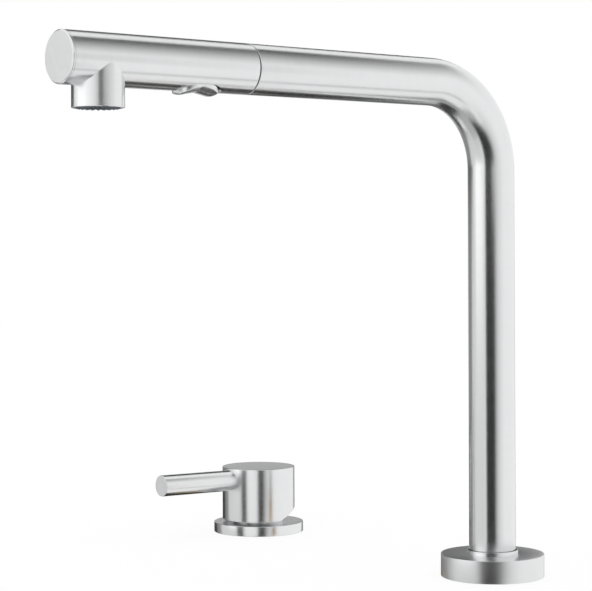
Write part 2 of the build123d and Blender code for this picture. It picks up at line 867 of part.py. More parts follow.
def cartridge_nut():
    bore = turret_neck + nut_bore_gap
    nut = ring(nut_thread_radius, bore, housing_top, neck_top)
    flange_top = neck_top + nut_flange_height
    flange = ring(neck_radius - edge_chamfer, bore, neck_top, flange_top)
    notch = Pos(neck_radius, 0, flange_top) * Box(nut_notch, nut_notch, nut_flange_height)
    for i in range(nut_notches):
        flange -= Rot(0, 0, 360 * i / nut_notches) * notch
    return at_mixer(nut + flange)


def turret():
    body = post(housing_inner - turret_gap, turret_bottom, turret_shoulder)
    body += post(turret_neck, turret_shoulder, turret_top)
    side = stem_square / 2 + 2 * running_gap
    lift = radians(lift_limit)
    neck_front = (pivot_height - turret_bottom) * tan(lift) + stem_neck / 2 / cos(lift)
    tip_front = tip_arm * sin(lift) + tip_radius
    front = max(neck_front, tip_front, stem_square / 2) + passing_gap
    rear = (turret_top - pivot_height) * tan(lift) + stem_square / 2 / cos(lift) + passing_gap
    body -= block(-side, side, -front, rear, turret_bottom - past, turret_top + past)
    return at_lever(body - cross_pin(pivot_pin_diameter / 2, turret_neck + past, 0, pivot_height))


def lever_pivot_pin():
    return at_lever(cross_pin(pivot_pin_diameter / 2, turret_neck - 2 * passing_gap, 0, pivot_height))


def disc_carrier():
    middle = disc_travel / 2
    carrier = post(moving_disc_diameter / 2, carrier_bottom, carrier_top, 0, middle)
    side = stem_tip_length / 2 + passing_gap
    half_slot = tip_radius + stem_tip_gap
    floor = stem_tip_height - tip_radius - passing_gap
    return at_lever(carrier - block(-side, side, -half_slot, half_slot, floor, carrier_top + past))


def moving_disc():
    middle = disc_travel / 2
    radius = moving_disc_diameter / 2
    disc = post(radius, moving_disc_bottom, carrier_bottom, 0, middle)
    pocket_top = moving_disc_bottom + mixing_pocket_depth
    disc -= post(radius - mixing_pocket_margin, moving_disc_bottom - past, pocket_top, 0, middle)
    return at_lever(disc)


# Handle places
cap_radius = cap_diameter / 2
cap_inner = cap_radius - cap_wall
cap_ceiling = cap_top - cap_top_thickness
boss_radius = boss_diameter / 2
socket_half = stem_square / 2 + running_gap


def raised(part):
    """Tilts the lever, or the hole for it, up towards the lever's end."""
    return Pos(0, 0, lever_height) * Rot(-lever_rise, 0, 0) * Pos(0, 0, -lever_height) * part


def handle_cap():
    cap = post(cap_radius, cap_bottom, cap_top)
    cap = chamfer(circles_of(cap, cap_radius, Axis.Z), edge_chamfer)
    cap -= post(cap_inner, cap_bottom - past, cap_ceiling)
    cap += post(boss_radius, boss_bottom, cap_ceiling)
    half = socket_half
    cap -= block(-half, half, -half, half, boss_bottom - past, stem_top + closing_gap)
    cap -= raised(bar(lever_spigot_diameter / 2, -boss_radius, -cap_radius - past, lever_height))
    cap -= bar(grub_screw_diameter / 2, boss_radius + past, 0, grub_screw_height)
    cap -= bar(screw_cover_diameter / 2, cap_radius + past, boss_radius + past, grub_screw_height)
    # the rear of the cap's lower edge is cut at a slant, so that it clears the rosette when lifted
    wedge = Pos(0, cap_radius, -cap_radius) * Box(2 * cap_diameter, cap_diameter, cap_diameter)
    wedge = Pos(0, -lift_cut_start, cap_bottom) * Rot(lift_cut_angle, 0, 0) * wedge
    return at_lever(cap - wedge)


def lever_rod():
    rod = bar(lever_diameter / 2, -cap_inner, -lever_reach, lever_height)
    rod = chamfer(circles_of(rod, lever_diameter / 2, Axis.Y, last=False), lever_chamfer)
    rod = raised(rod) - post(cap_radius, lever_height - lever_diameter, lever_height + lever_diameter)
    spigot = bar(lever_spigot_diameter / 2, -boss_radius - closing_gap, -cap_radius - past, lever_height)
    return at_lever(rod + raised(spigot))


def control_stem():
    half = stem_square / 2
    stem = block(-half, half, -half, half, stem_shoulder, stem_top)
    tip_half = stem_tip_length / 2
    neck_half = stem_neck / 2
    stem += block(-tip_half, tip_half, -neck_half, neck_half, stem_tip_height, stem_shoulder)
    stem += cross_pin(tip_radius, tip_half, 0, stem_tip_height)
    return at_lever(stem - cross_pin(pivot_pin_diameter / 2 + running_gap, half + past, 0, pivot_height))


def grub_screw():
    front = stem_square / 2
    back = front + grub_screw_length
    screw = bar(grub_screw_diameter / 2, back, front, grub_screw_height)
    key = Pos(0, back, grub_screw_height) * Rot(90, 0, 0)
    socket = key * extrude(RegularPolygon(screw_socket_width / 2, 6), screw_socket_depth)
    return at_lever(screw - socket)


def screw_cover():
    cover = bar(screw_cover_diameter / 2, cap_radius, cap_radius - screw_cover_length, grub_screw_height)
    return at_lever(cover & post(cap_radius - running_gap, cap_bottom, cap_top))


nodes = {
    "spout_rosette": spout_rosette(),
    "collar_ring": collar_ring(),
    "spout_shank": spout_shank(),
    "upper_bearing": bearing(seat_floor - bearing_length),
    "lower_bearing": bearing(tube_foot + closing_gap),
    "thrust_washer": thrust_washer(),
    "spout_gasket": flat_gasket(spout_gasket_height),
    "spout_fixing_gasket": fixing_gasket(),
    "spout_fixing_washer": fixing_washer(),
    "spout_fixing_nut": fixing_nut(),
    "spout_tube": spout_tube(),
    "support_ring": support_ring(),
    "stop_pin": stop_pin(),
    "swivel_orings": swivel_orings(),
    "docking_sleeve": docking_sleeve(),
    "pull_out_hose": pull_out_hose(),
    "hose_guide": hose_guide(),
    "hose_end_fitting": hose_end_fitting(),
    "handset_shell": handset_shell(),
    "front_cap": front_cap(),
    "waterway_core": waterway_core(),
    "docking_orings": docking_orings(),
    "hose_nut": hose_nut(),
    "non_return_valve": non_return_valve(),
    "inlet_filter": inlet_filter(),
    "spray_plate": spray_plate(),
    "spray_face": spray_face(),
    "aerator_insert": aerator_insert(),
    "toggle_pin": toggle_pin(),
    "spool_spring": spool_spring(),
    "toggle": toggle(),
    "diverter_spool": diverter_spool(),
    "spool_orings": spool_orings(),
    "mixer_rosette": mixer_rosette(),
    "mixer_gasket": at_mixer(flat_gasket(mixer_gasket_height)),
    "mixer_body": mixer_body(),
    "mixer_fixing_gasket": at_mixer(fixing_gasket()),
    "mixer_fixing_washer": at_mixer(fixing_washer()),
    "mixer_fixing_nut": at_mixer(fixing_nut()),
    "base_seals": base_seals(),
    "cartridge_base": cartridge_base(),
    "fixed_disc": fixed_disc(),
    "cartridge_housing": cartridge_housing(),
    "cartridge_nut": cartridge_nut(),
    "turret": turret(),
    "lever_pivot_pin": lever_pivot_pin(),
    "disc_carrier": disc_carrier(),
    "moving_disc": moving_disc(),
    "handle_cap": handle_cap(),
    "lever_rod": lever_rod(),
    "control_stem": control_stem(),
    "grub_screw": grub_screw(),
    "screw_cover": screw_cover(),
}

for name, shape in nodes.items():
    export_step(shape, f"parts/{name}.step")
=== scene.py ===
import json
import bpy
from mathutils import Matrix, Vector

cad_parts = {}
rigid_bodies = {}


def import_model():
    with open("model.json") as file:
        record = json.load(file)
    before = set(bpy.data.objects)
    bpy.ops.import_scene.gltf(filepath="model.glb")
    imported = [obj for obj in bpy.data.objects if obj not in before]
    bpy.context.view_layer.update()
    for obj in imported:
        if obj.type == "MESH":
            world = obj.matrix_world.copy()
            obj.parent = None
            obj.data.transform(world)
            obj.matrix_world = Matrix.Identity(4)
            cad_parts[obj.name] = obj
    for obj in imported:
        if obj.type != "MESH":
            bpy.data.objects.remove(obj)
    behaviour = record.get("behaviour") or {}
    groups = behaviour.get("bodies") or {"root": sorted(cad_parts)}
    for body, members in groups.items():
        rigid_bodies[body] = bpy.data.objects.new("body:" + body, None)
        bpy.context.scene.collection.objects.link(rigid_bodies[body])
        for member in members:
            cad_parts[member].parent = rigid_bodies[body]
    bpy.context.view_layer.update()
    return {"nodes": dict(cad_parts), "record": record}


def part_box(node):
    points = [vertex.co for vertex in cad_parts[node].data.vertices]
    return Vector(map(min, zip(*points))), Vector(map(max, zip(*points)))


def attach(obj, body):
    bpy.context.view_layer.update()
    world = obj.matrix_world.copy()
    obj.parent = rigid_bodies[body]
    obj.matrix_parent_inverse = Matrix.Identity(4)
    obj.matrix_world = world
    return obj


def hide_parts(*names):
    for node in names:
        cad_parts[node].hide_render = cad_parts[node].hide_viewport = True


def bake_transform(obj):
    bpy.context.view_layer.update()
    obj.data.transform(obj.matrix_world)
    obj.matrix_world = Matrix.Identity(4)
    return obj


bl_info = {
    "name": "Pull-out kitchen tap",
    "version": (1, 0, 0),
    "blender": (4, 5, 0),
    "location": "3D View > Sidebar > Tap",
    "description": "Dresses the solids of a two-hole kitchen tap with its brushed steel and other finishes",
    "category": "Add Mesh",
}

from math import atan2, cos, hypot, pi, radians, sin, sqrt, tau

import bpy
from mathutils import Matrix, Vector

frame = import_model()

# Directions in the shared frame; the arm points along -Y
UP = Vector((0, 0, 1))
FORWARD = Vector((0, -1, 0))
BACK = Vector((0, 1, 0))
ACROSS = Vector((1, 0, 0))

MILLIMETRE = 0.001
MERGE_DISTANCE = 1e-6

# Faces round what has no setting of its own, and steps round a bend or a turn of wire
LEVER_SIDES = 96
SADDLE_SIDES = 256
HOLE_SIDES = 64
NUB_SIDES = 16
SPRING_WIRE_SIDES = 12
TUBE_BEND_STEPS = 48
HOSE_BEND_STEPS = 32
WIRE_STEPS = 24

# Radius of a thread's three-sided cutting wire, in pitches: each side is then just under a pitch
THREAD_WIRE = 0.57

# Places that every piece is set from, read off the packed solids
tube_low, tube_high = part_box("spout_tube")
shell_low, shell_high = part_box("handset_shell")
cap_low, cap_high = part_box("front_cap")
rocker_low, rocker_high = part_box("toggle")
rosette_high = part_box("spout_rosette")[1]
collar_low, collar_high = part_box("collar_ring")
mixer_low, mixer_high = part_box("mixer_rosette")
handle_low, handle_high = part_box("handle_cap")
plate_low, plate_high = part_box("spray_plate")

TUBE_RADIUS = tube_high.x
ARM_HEIGHT = tube_high.z - TUBE_RADIUS
ARM_END = tube_low.y
ARM_LINE = Vector((0, 0, ARM_HEIGHT))
SPOUT_FOOT = Vector((0, 0, 0))
MIXER_X = (mixer_low.x + mixer_high.x) / 2
MIXER_FOOT = Vector((MIXER_X, 0, 0))
NOZZLE_Y = (plate_low.y + plate_high.y) / 2
NOZZLE_LINE = Vector((0, NOZZLE_Y, 0))


class StudioSettings(bpy.types.PropertyGroup):
    """The camera, the worktop and the light round the tap."""

    camera_place: bpy.props.FloatVectorProperty(
        name="Camera place",
        description="Where the camera stands",
        default=(0.73333, -0.71140, 0.17866),
        unit="LENGTH",
    )
    camera_turn: bpy.props.FloatProperty(
        name="Camera turn",
        description="Angle about the upright, from looking along +Y",
        default=radians(51.782),
        unit="ROTATION",
    )
    camera_pitch: bpy.props.FloatProperty(
        name="Camera pitch",
        description="Angle above the horizon",
        default=radians(0.249),
        unit="ROTATION",
    )
    camera_roll: bpy.props.FloatProperty(
        name="Camera roll", description="Turn about the view", default=radians(-0.221), unit="ROTATION"
    )
    lens: bpy.props.FloatProperty(
        name="Lens", description="Focal length in millimetres", default=114.55
    )
    frame_shift: bpy.props.FloatProperty(
        name="Frame shift",
        description="Upward shift of the frame, as a share of its width",
        default=-0.0997,
    )
    worktop_size: bpy.props.FloatProperty(
        name="Worktop size", description="Side of the pale worktop", default=6.0, unit="LENGTH"
    )
    worktop_shadow: bpy.props.FloatProperty(
        name="Worktop shadow",
        description="Share of the tap's shadow that the worktop keeps",
        default=0.12,
    )


class SteelSettings(bpy.types.PropertyGroup):
    """The brushed steel that most of what shows is made of."""

    colour: bpy.props.FloatVectorProperty(
        name="Colour",
        description="Colour of the bare steel",
        subtype="COLOR",
        default=(0.80, 0.805, 0.81),
    )
    roughness: bpy.props.FloatProperty(
        name="Roughness", description="Mean roughness of the brushed faces", default=0.25, min=0, max=1
    )
    stretch: bpy.props.FloatProperty(
        name="Stretch",
        description="How far the brushing draws highlights out",
        default=0.45,
        min=0,
        max=1,
    )
    face_roughness: bpy.props.FloatProperty(
        name="Face roughness",
        description="Mean roughness of the flat faces",
        default=0.32,
        min=0,
        max=1,
    )
    satin_roughness: bpy.props.FloatProperty(
        name="Satin roughness",
        description="Mean roughness of the tall rosette's side",
        default=0.35,
        min=0,
        max=1,
    )
    grain_pitch: bpy.props.FloatProperty(
        name="Grain pitch",
        description="Spacing of the brush lines",
        default=0.00022,
        unit="LENGTH",
        precision=5,
    )
    edge: bpy.props.FloatProperty(
        name="Edge",
        description="Width of the rounding on turned edges",
        default=0.00025,
        unit="LENGTH",
        precision=5,
    )


class SpoutSettings(bpy.types.PropertyGroup):
    """The bent tube and what it stands in."""

    bend_radius: bpy.props.FloatProperty(
        name="Bend radius",
        description="Radius of the tube's centre line in its bend",
        default=0.045,
        unit="LENGTH",
    )
    wall: bpy.props.FloatProperty(
        name="Wall", description="Tube wall", default=0.0015, unit="LENGTH", precision=5
    )
    rosette_wall: bpy.props.FloatProperty(
        name="Rosette wall",
        description="Side wall of both rosettes",
        default=0.00325,
        unit="LENGTH",
        precision=5,
    )
    rosette_top: bpy.props.FloatProperty(
        name="Rosette top",
        description="Top of the tall rosette",
        default=0.003,
        unit="LENGTH",
        precision=5,
    )
    collar_gap: bpy.props.FloatProperty(
        name="Collar gap",
        description="Play between the tube and its collar",
        default=0.00065,
        unit="LENGTH",
        precision=5,
    )
    collar_wall: bpy.props.FloatProperty(
        name="Collar wall",
        description="Wall of the collar",
        default=0.00055,
        unit="LENGTH",
        precision=5,
    )
    neck_gap: bpy.props.FloatProperty(
        name="Neck gap",
        description="Play between the mixer's neck and its rosette",
        default=0.00005,
        unit="LENGTH",
    )
    sides: bpy.props.IntProperty(
        name="Sides", description="Faces round a turned piece", default=128, min=24
    )


class HandsetSettings(bpy.types.PropertyGroup):
    """The pull-out handset's casing."""

    nozzle_diameter: bpy.props.FloatProperty(
        name="Nozzle diameter",
        description="Outside of the nozzle",
        default=0.0246,
        unit="LENGTH",
        precision=5,
    )
    nozzle_wall: bpy.props.FloatProperty(
        name="Nozzle wall", description="Wall of the nozzle", default=0.0014, unit="LENGTH", precision=5
    )
    front_chamfer: bpy.props.FloatProperty(
        name="Front chamfer",
        description="Chamfer round the front disc",
        default=0.0007,
        unit="LENGTH",
        precision=5,
    )
    hole_front_gap: bpy.props.FloatProperty(
        name="Hole front gap",
        description="Play in front of the rocker",
        default=0.0005,
        unit="LENGTH",
        precision=5,
    )
    hole_rear_gap: bpy.props.FloatProperty(
        name="Hole rear gap",
        description="Play behind the rocker",
        default=0.00155,
        unit="LENGTH",
        precision=5,
    )
    hole_side_gap: bpy.props.FloatProperty(
        name="Hole side gap",
        description="Play beside the rocker",
        default=0.00025,
        unit="LENGTH",
        precision=5,
    )
    hole_depth: bpy.props.FloatProperty(
        name="Hole depth",
        description="Top of the rocker's hole below the arm's line",
        default=0.0045,
        unit="LENGTH",
    )
    cutting_margin: bpy.props.FloatProperty(
        name="Cutting margin",
        description="How far a cutting shape runs past",
        default=0.001,
        unit="LENGTH",
    )
    sides: bpy.props.IntProperty(
        name="Sides", description="Faces round the casing", default=256, min=24
    )


class RockerSettings(bpy.types.PropertyGroup):
    """The wavy rocker under the handset; depths are below the arm's centre line."""

    top_depth: bpy.props.FloatProperty(
        name="Top depth", description="Flat top", default=0.0083, unit="LENGTH", precision=5
    )
    front_lobe: bpy.props.FloatProperty(
        name="Front lobe",
        description="Radius of the front lobe",
        default=0.0025,
        unit="LENGTH",
        precision=5,
    )
    front_depth: bpy.props.FloatProperty(
        name="Front depth",
        description="Depth of the front lobe",
        default=0.0143,
        unit="LENGTH",
        precision=5,
    )
    rear_lobe: bpy.props.FloatProperty(
        name="Rear lobe",
        description="Radius of the rear lobe",
        default=0.0037,
        unit="LENGTH",
        precision=5,
    )
    rear_depth: bpy.props.FloatProperty(
        name="Rear depth",
        description="Depth of the rear lobe",
        default=0.0144,
        unit="LENGTH",
        precision=5,
    )
    valley_depth: bpy.props.FloatProperty(
        name="Valley depth",
        description="Depth between the lobes",
        default=0.0128,
        unit="LENGTH",
        precision=5,
    )
    edge: bpy.props.FloatProperty(
        name="Edge",
        description="Rounding of the rocker's edges",
        default=0.0003,
        unit="LENGTH",
        precision=5,
    )
    crease: bpy.props.FloatProperty(
        name="Crease",
        description="Softness of the fold between the lobes, as a share of a facet",
        default=0.04,
    )
    side_cuts: bpy.props.IntProperty(
        name="Side cuts", description="Cuts along each straight side", default=24
    )
    sides: bpy.props.IntProperty(
        name="Sides", description="Faces round the two ends", default=96, min=24
    )


class MixerSettings(bpy.types.PropertyGroup):
    """The lever mixer beside the spout."""

    lever_turn: bpy.props.FloatProperty(
        name="Lever turn", description="Turn of the lever at rest", default=0.0, unit="ROTATION"
    )
    lever_height: bpy.props.FloatProperty(
        name="Lever height",
        description="Height of the lever's line at the mixer's axis",
        default=0.0325,
        unit="LENGTH",
    )
    lever_rise: bpy.props.FloatProperty(
        name="Lever rise",
        description="How far the lever's line points upwards",
        default=radians(0.9),
        unit="ROTATION",
    )
    neck_radius: bpy.props.FloatProperty(
        name="Neck radius",
        description="Radius of the mixer's neck",
        default=0.0155,
        unit="LENGTH",
        precision=5,
    )
    cap_diameter: bpy.props.FloatProperty(
        name="Cap diameter",
        description="Outside of the lever's cap",
        default=0.045,
        unit="LENGTH",
        precision=5,
    )
    lever_diameter: bpy.props.FloatProperty(
        name="Lever diameter",
        description="Outside of the round lever",
        default=0.0127,
        unit="LENGTH",
        precision=5,
    )
    lever_reach: bpy.props.FloatProperty(
        name="Lever reach",
        description="From the mixer's axis to the lever's end",
        default=0.0733,
        unit="LENGTH",
    )
    lever_chamfer: bpy.props.FloatProperty(
        name="Lever chamfer",
        description="Chamfer at the lever's end",
        default=0.0005,
        unit="LENGTH",
        precision=5,
    )
    rosette_top: bpy.props.FloatProperty(
        name="Rosette top",
        description="Top of the low rosette",
        default=0.0025,
        unit="LENGTH",
        precision=5,
    )
    cap_wall: bpy.props.FloatProperty(
        name="Cap wall",
        description="Wall of the lever's cap",
        default=0.0025,
        unit="LENGTH",
        precision=5,
    )
    cap_top: bpy.props.FloatProperty(
        name="Cap top",
        description="Thickness of the cap's top",
        default=0.004,
        unit="LENGTH",
        precision=5,
    )
    cut_angle: bpy.props.FloatProperty(
        name="Cut angle",
        description="Slant of the cut behind the cap",
        default=radians(22),
        unit="ROTATION",
    )
    cut_start: bpy.props.FloatProperty(
        name="Cut start",
        description="Where the slant starts, in front of the axis",
        default=0.0013,
        unit="LENGTH",
    )


class SprayFaceSettings(bpy.types.PropertyGroup):
    """The soft ring of nubs under the nozzle."""

    nub_diameter: bpy.props.FloatProperty(
        name="Nub diameter", description="Outside of a nub", default=0.0019, unit="LENGTH", precision=5
    )
    nub_length: bpy.props.FloatProperty(
        name="Nub length",
        description="How far a nub stands out",
        default=0.0012,
        unit="LENGTH",
        precision=5,
    )
    nub_bore: bpy.props.FloatProperty(
        name="Nub bore",
        description="Diameter of a nub's hole",
        default=0.0005,
        unit="LENGTH",
        precision=5,
    )
    inner_radius: bpy.props.FloatProperty(
        name="Inner radius",
        description="Radius of the ring's hole",
        default=0.0065,
        unit="LENGTH",
        precision=5,
    )
    row_inset: bpy.props.FloatProperty(
        name="Row inset",
        description="From each edge of the ring to its row",
        default=0.0012,
        unit="LENGTH",
        precision=5,
    )
    row_count: bpy.props.IntProperty(
        name="Row count", description="Nubs in each row", default=22, min=3
    )
    edge: bpy.props.FloatProperty(
        name="Edge",
        description="Rounding of the ring's edges",
        default=0.0004,
        unit="LENGTH",
        precision=5,
    )


class HoseSettings(bpy.types.PropertyGroup):
    """The braided hose inside the tube, and the small spring in the handset."""

    bore: bpy.props.FloatProperty(
        name="Bore", description="Inside of the hose", default=0.008, unit="LENGTH"
    )
    strands: bpy.props.IntProperty(
        name="Strands", description="Strands of wire round the hose", default=16, min=4
    )
    travel: bpy.props.FloatProperty(
        name="Travel", description="How far the handset pulls the hose out", default=0.25, unit="LENGTH"
    )
    cuts: bpy.props.IntProperty(
        name="Cuts", description="Cuts along the stretch that pulls out", default=48, min=2
    )
    spring_wire: bpy.props.FloatProperty(
        name="Spring wire",
        description="Diameter of the spring's wire",
        default=0.0006,
        unit="LENGTH",
        precision=5,
    )
    spring_turns: bpy.props.IntProperty(
        name="Spring turns", description="Turns of the spring", default=5, min=1
    )


class ThreadSettings(bpy.types.PropertyGroup):
    """The threads and nuts under the worktop."""

    pitch: bpy.props.FloatProperty(
        name="Pitch",
        description="Pitch of the two shanks' thread",
        default=0.0015,
        unit="LENGTH",
        precision=5,
    )
    depth: bpy.props.FloatProperty(
        name="Depth",
        description="Depth of the two shanks' thread",
        default=0.0009,
        unit="LENGTH",
        precision=5,
    )
    shank_radius: bpy.props.FloatProperty(
        name="Shank radius",
        description="Outside of both threads",
        default=0.0165,
        unit="LENGTH",
        precision=5,
    )
    shank_top: bpy.props.FloatProperty(
        name="Shank top",
        description="Height at which the thread starts",
        default=-0.004,
        unit="LENGTH",
        precision=5,
    )
    hose_pitch: bpy.props.FloatProperty(
        name="Hose pitch",
        description="Pitch of the hose fitting's thread",
        default=0.0013,
        unit="LENGTH",
        precision=5,
    )
    hose_radius: bpy.props.FloatProperty(
        name="Hose radius",
        description="Outside of the hose fitting's thread",
        default=0.0075,
        unit="LENGTH",
    )
    hose_length: bpy.props.FloatProperty(
        name="Hose thread length",
        description="Length of the hose fitting's thread",
        default=0.011,
        unit="LENGTH",
    )
    nut_chamfer: bpy.props.FloatProperty(
        name="Nut chamfer",
        description="How far the nuts' corners are turned off",
        default=0.0026,
        unit="LENGTH",
    )


SETTINGS = {
    "tap_studio": StudioSettings,
    "tap_steel": SteelSettings,
    "tap_spout": SpoutSettings,
    "tap_handset": HandsetSettings,
    "tap_rocker": RockerSettings,
    "tap_mixer": MixerSettings,
    "tap_spray_face": SprayFaceSettings,
    "tap_hose": HoseSettings,
    "tap_threads": ThreadSettings,
}


# Modelling


def deselect_all():
    """Leaves nothing selected, in object mode."""
    if bpy.context.object and bpy.context.object.mode != "OBJECT":
        bpy.ops.object.mode_set(mode="OBJECT")
    bpy.ops.object.select_all(action="DESELECT")


def select_only(piece):
    """Selects one piece and makes it the active one, in object mode."""
    deselect_all()
    piece.select_set(True)
    bpy.context.view_layer.objects.active = piece


def start_ring(name, centre, axis, radius, sides):
    """Adds a ring of edges square to an axis and opens it in edit mode, all selected."""
    deselect_all()
    turn = UP.rotation_difference(axis).to_euler()
    bpy.ops.mesh.primitive_circle_add(vertices=sides, radius=radius, location=centre, rotation=turn)
    piece = bpy.context.object
    piece.name = piece.data.name = name
    bpy.ops.object.mode_set(mode="EDIT")
    return piece


def draw_out(step):
    """Extrudes what is selected by a step."""
    bpy.ops.mesh.extrude_region_move(TRANSFORM_OT_translate={"value": tuple(step)})


def widen(ratio, centre):
    """Scales what is selected about a centre."""
    bpy.ops.transform.resize(value=(ratio, ratio, ratio), center_override=tuple(centre))


def bend_forward(bend_radius, steps):
    """Spins what is selected round the tube's bend, from straight up to along the arm."""
    centre = (0, -bend_radius, ARM_HEIGHT - bend_radius)
    bpy.ops.mesh.spin(steps=steps, angle=pi / 2, center=centre, axis=tuple(-ACROSS))


def cap_ends():
    """Fills every open end of the piece in edit mode."""
    bpy.ops.mesh.select_all(action="SELECT")
    bpy.ops.mesh.fill_holes(sides=0)


def close_mesh():
    """Merges doubles, turns the faces outwards and puts the piece's place in its mesh."""
    bpy.ops.mesh.select_all(action="SELECT")
    bpy.ops.mesh.remove_doubles(threshold=MERGE_DISTANCE)
    bpy.ops.mesh.normals_make_consistent(inside=False)
    bpy.ops.object.mode_set(mode="OBJECT")
    bpy.ops.object.transform_apply(location=True, rotation=True, scale=True)


def soften(outline, radius, steps=3):
    """Rounds an outline's corners: a closed outline's all, an open one's all but its two ends."""
    points = [Vector(point) for point in outline]
    closed = points[0] == points[-1]
    corners = points[:-1] if closed else points[1:-1]
    soft = [] if closed else [points[0]]
    for number, corner in enumerate(corners):
        before = corners[number - 1] if closed else points[number]
        after = corners[(number + 1) % len(corners)] if closed else points[number + 2]
        start, end = (
            corner + (other - corner).normalized() * min(radius, 0.4 * (other - corner).length)
            for other in (before, after)
        )
        for step in range(steps + 1):
            share = step / steps
            soft.append(start.lerp(corner, share).lerp(corner.lerp(end, share), share))
    soft.append(soft[0] if closed else points[-1])
    return soft


def turned(name, centre, axis, outline, sides):
    """Turns an outline of (distance along the axis, radius) points round an axis, ring by ring.

    An outline that comes back to its first point makes a closed ring, and any other is capped at both ends.
    """
    at, radius = outline[0]
    closed = Vector(outline[0]) == Vector(outline[-1])
    piece = start_ring(name, centre + axis * at, axis, radius, sides)
    for place, new_radius in outline[1:]:
        draw_out(axis * (place - at))
        widen(new_radius / radius, centre + axis * place)
        at, radius = place, new_radius
    if not closed:
        cap_ends()
    close_mesh()
    return piece


def smooth(piece, angle=radians(35)):
    """Shades a piece smooth, all but its edges sharper than an angle."""
    select_only(piece)
    bpy.ops.object.shade_smooth_by_angle(angle=angle)


def true_normals(piece, surfaces, tolerance=0.00002):
    """Gives faces that lie on round surfaces, as (centre, axis, radius), those surfaces' own normals."""
    smooth(piece)
    mesh = piece.data
    normals = [corner.vector.copy() for corner in mesh.corner_normals]
    for face in mesh.polygons:
        points = [mesh.vertices[index].co for index in face.vertices]
        for centre, axis, radius in surfaces:
            arms = [point - centre - axis * (point - centre).dot(axis) for point in points]
            if all(abs(arm.length - radius) < tolerance for arm in arms):
                for corner, arm in zip(face.loop_indices, arms):
                    outwards = arm.normalized()
                    normals[corner] = outwards if outwards.dot(face.normal) > 0 else -outwards
                break
    mesh.normals_split_custom_set([tuple(normal) for normal in normals])


def apply_modifier(piece, kind, **values):
    """Adds a modifier, sets its values and applies it."""
    select_only(piece)
    modifier = piece.modifiers.new(kind.lower(), kind)
    for key, value in values.items():
        setattr(modifier, key, value)
    bpy.ops.object.modifier_apply(modifier=modifier.name)


def round_edges(piece, width, angle=radians(35), segments=3):
    """Rounds every edge sharper than an angle, and shades the piece smooth between those that stay."""
    apply_modifier(piece, "BEVEL", width=width, segments=segments, limit_method="ANGLE", angle_limit=angle)
    smooth(piece, angle)


def combine(piece, other, operation):
    """Combines a closed mesh with another by a boolean operation, and removes the other."""
    apply_modifier(piece, "BOOLEAN", operation=operation, object=other, solver="EXACT")
    bpy.data.objects.remove(other)


def cut_away(piece, tool):
    """Takes one closed mesh out of another and removes the tool."""
    combine(piece, tool, "DIFFERENCE")


def add_object(name, mesh):
    """Adds an object for a mesh, selected and active."""
    piece = bpy.data.objects.new(name, mesh)
    bpy.context.scene.collection.objects.link(piece)
    select_only(piece)
    return piece


def copy_solid(name, node):
    """A merged copy of a packed solid, to be cut further."""
    piece = add_object(name, frame["nodes"][node].data.copy())
    bpy.ops.mesh.customdata_custom_splitnormals_clear()
    bpy.ops.object.mode_set(mode="EDIT")
    bpy.ops.mesh.select_all(action="SELECT")
    bpy.ops.mesh.remove_doubles(threshold=MERGE_DISTANCE)
    bpy.ops.object.mode_set(mode="OBJECT")
    return piece


def wound(name, sides, wire, radius, pitch, turns, inwards=False):
    """A wire wound up round the upright through the origin, closed at both ends.

    A wire of three sides has an edge that points away from the upright, or towards it.
    """
    deselect_all()
    turn = (pi / 2, -pi / 2 if inwards else pi / 2, 0)
    bpy.ops.mesh.primitive_circle_add(vertices=sides, radius=wire, location=(radius, 0, 0), rotation=turn)
    piece = bpy.context.object
    piece.name = piece.data.name = name
    bpy.ops.object.transform_apply(location=True, rotation=True, scale=True)
    apply_modifier(
        piece,
        "SCREW",
        axis="Z",
        angle=tau,
        screw_offset=pitch,
        iterations=turns,
        steps=WIRE_STEPS,
        render_steps=WIRE_STEPS,
    )
    bpy.ops.object.mode_set(mode="EDIT")
    cap_ends()
    close_mesh()
    return piece


def thread_tool(radius, depth, pitch, low, high):
    """The wound tool that cuts a thread's groove into an upright rod at the origin."""
    wire = THREAD_WIRE * pitch
    turns = round((high - low) / pitch)
    tool = wound("groove", 3, wire, radius - depth + wire, pitch, turns, inwards=True)
    tool.data.transform(Matrix.Translation(UP * low))
    return tool


def lay_grain(piece, flow):
    """Gives the piece a map whose first direction goes along its grain.

    It follows flow(point, normal), which gives the place along, the place round and the length round.
    """
    mesh = piece.data
    grain = mesh.uv_layers.get("grain") or mesh.uv_layers.new(name="grain")
    for face in mesh.polygons:
        middle = flow(face.center, face.normal)
        for corner in face.loop_indices:
            point = mesh.vertices[mesh.loops[corner].vertex_index].co
            along, around, whole = flow(point, face.normal)
            if whole:
                around -= round((around - middle[1]) / whole) * whole
            grain.data[corner].uv = (along, around)


def round_flow(centre, axis, radius):
    """Grain that goes round a straight axis."""
    side = axis.orthogonal().normalized()
    other = axis.cross(side)

    def flow(point, normal):
        arm = point - centre
        height = arm.dot(axis)
        flat = arm - axis * height
        angle = atan2(flat.dot(other), flat.dot(side))
        return height - flat.length, angle * radius, tau * radius

    return flow


def bent_flow(radius):
    """Grain that goes round the tube's bent centre line."""
    bend_radius = bpy.context.scene.tap_spout.bend_radius
    centre = Vector((0, -bend_radius, ARM_HEIGHT - bend_radius))

    def flow(point, normal):
        arm = point - centre
        if arm.y >= 0 and arm.z <= 0:
            along, out = arm.z, point.y
        elif arm.y <= 0:
            along, out = bend_radius * pi / 2 - arm.y, point.z - ARM_HEIGHT
        else:
            along, out = atan2(arm.z, arm.y) * bend_radius, hypot(arm.y, arm.z) - bend_radius
        return along, atan2(point.x, out) * radius, tau * radius

    return flow


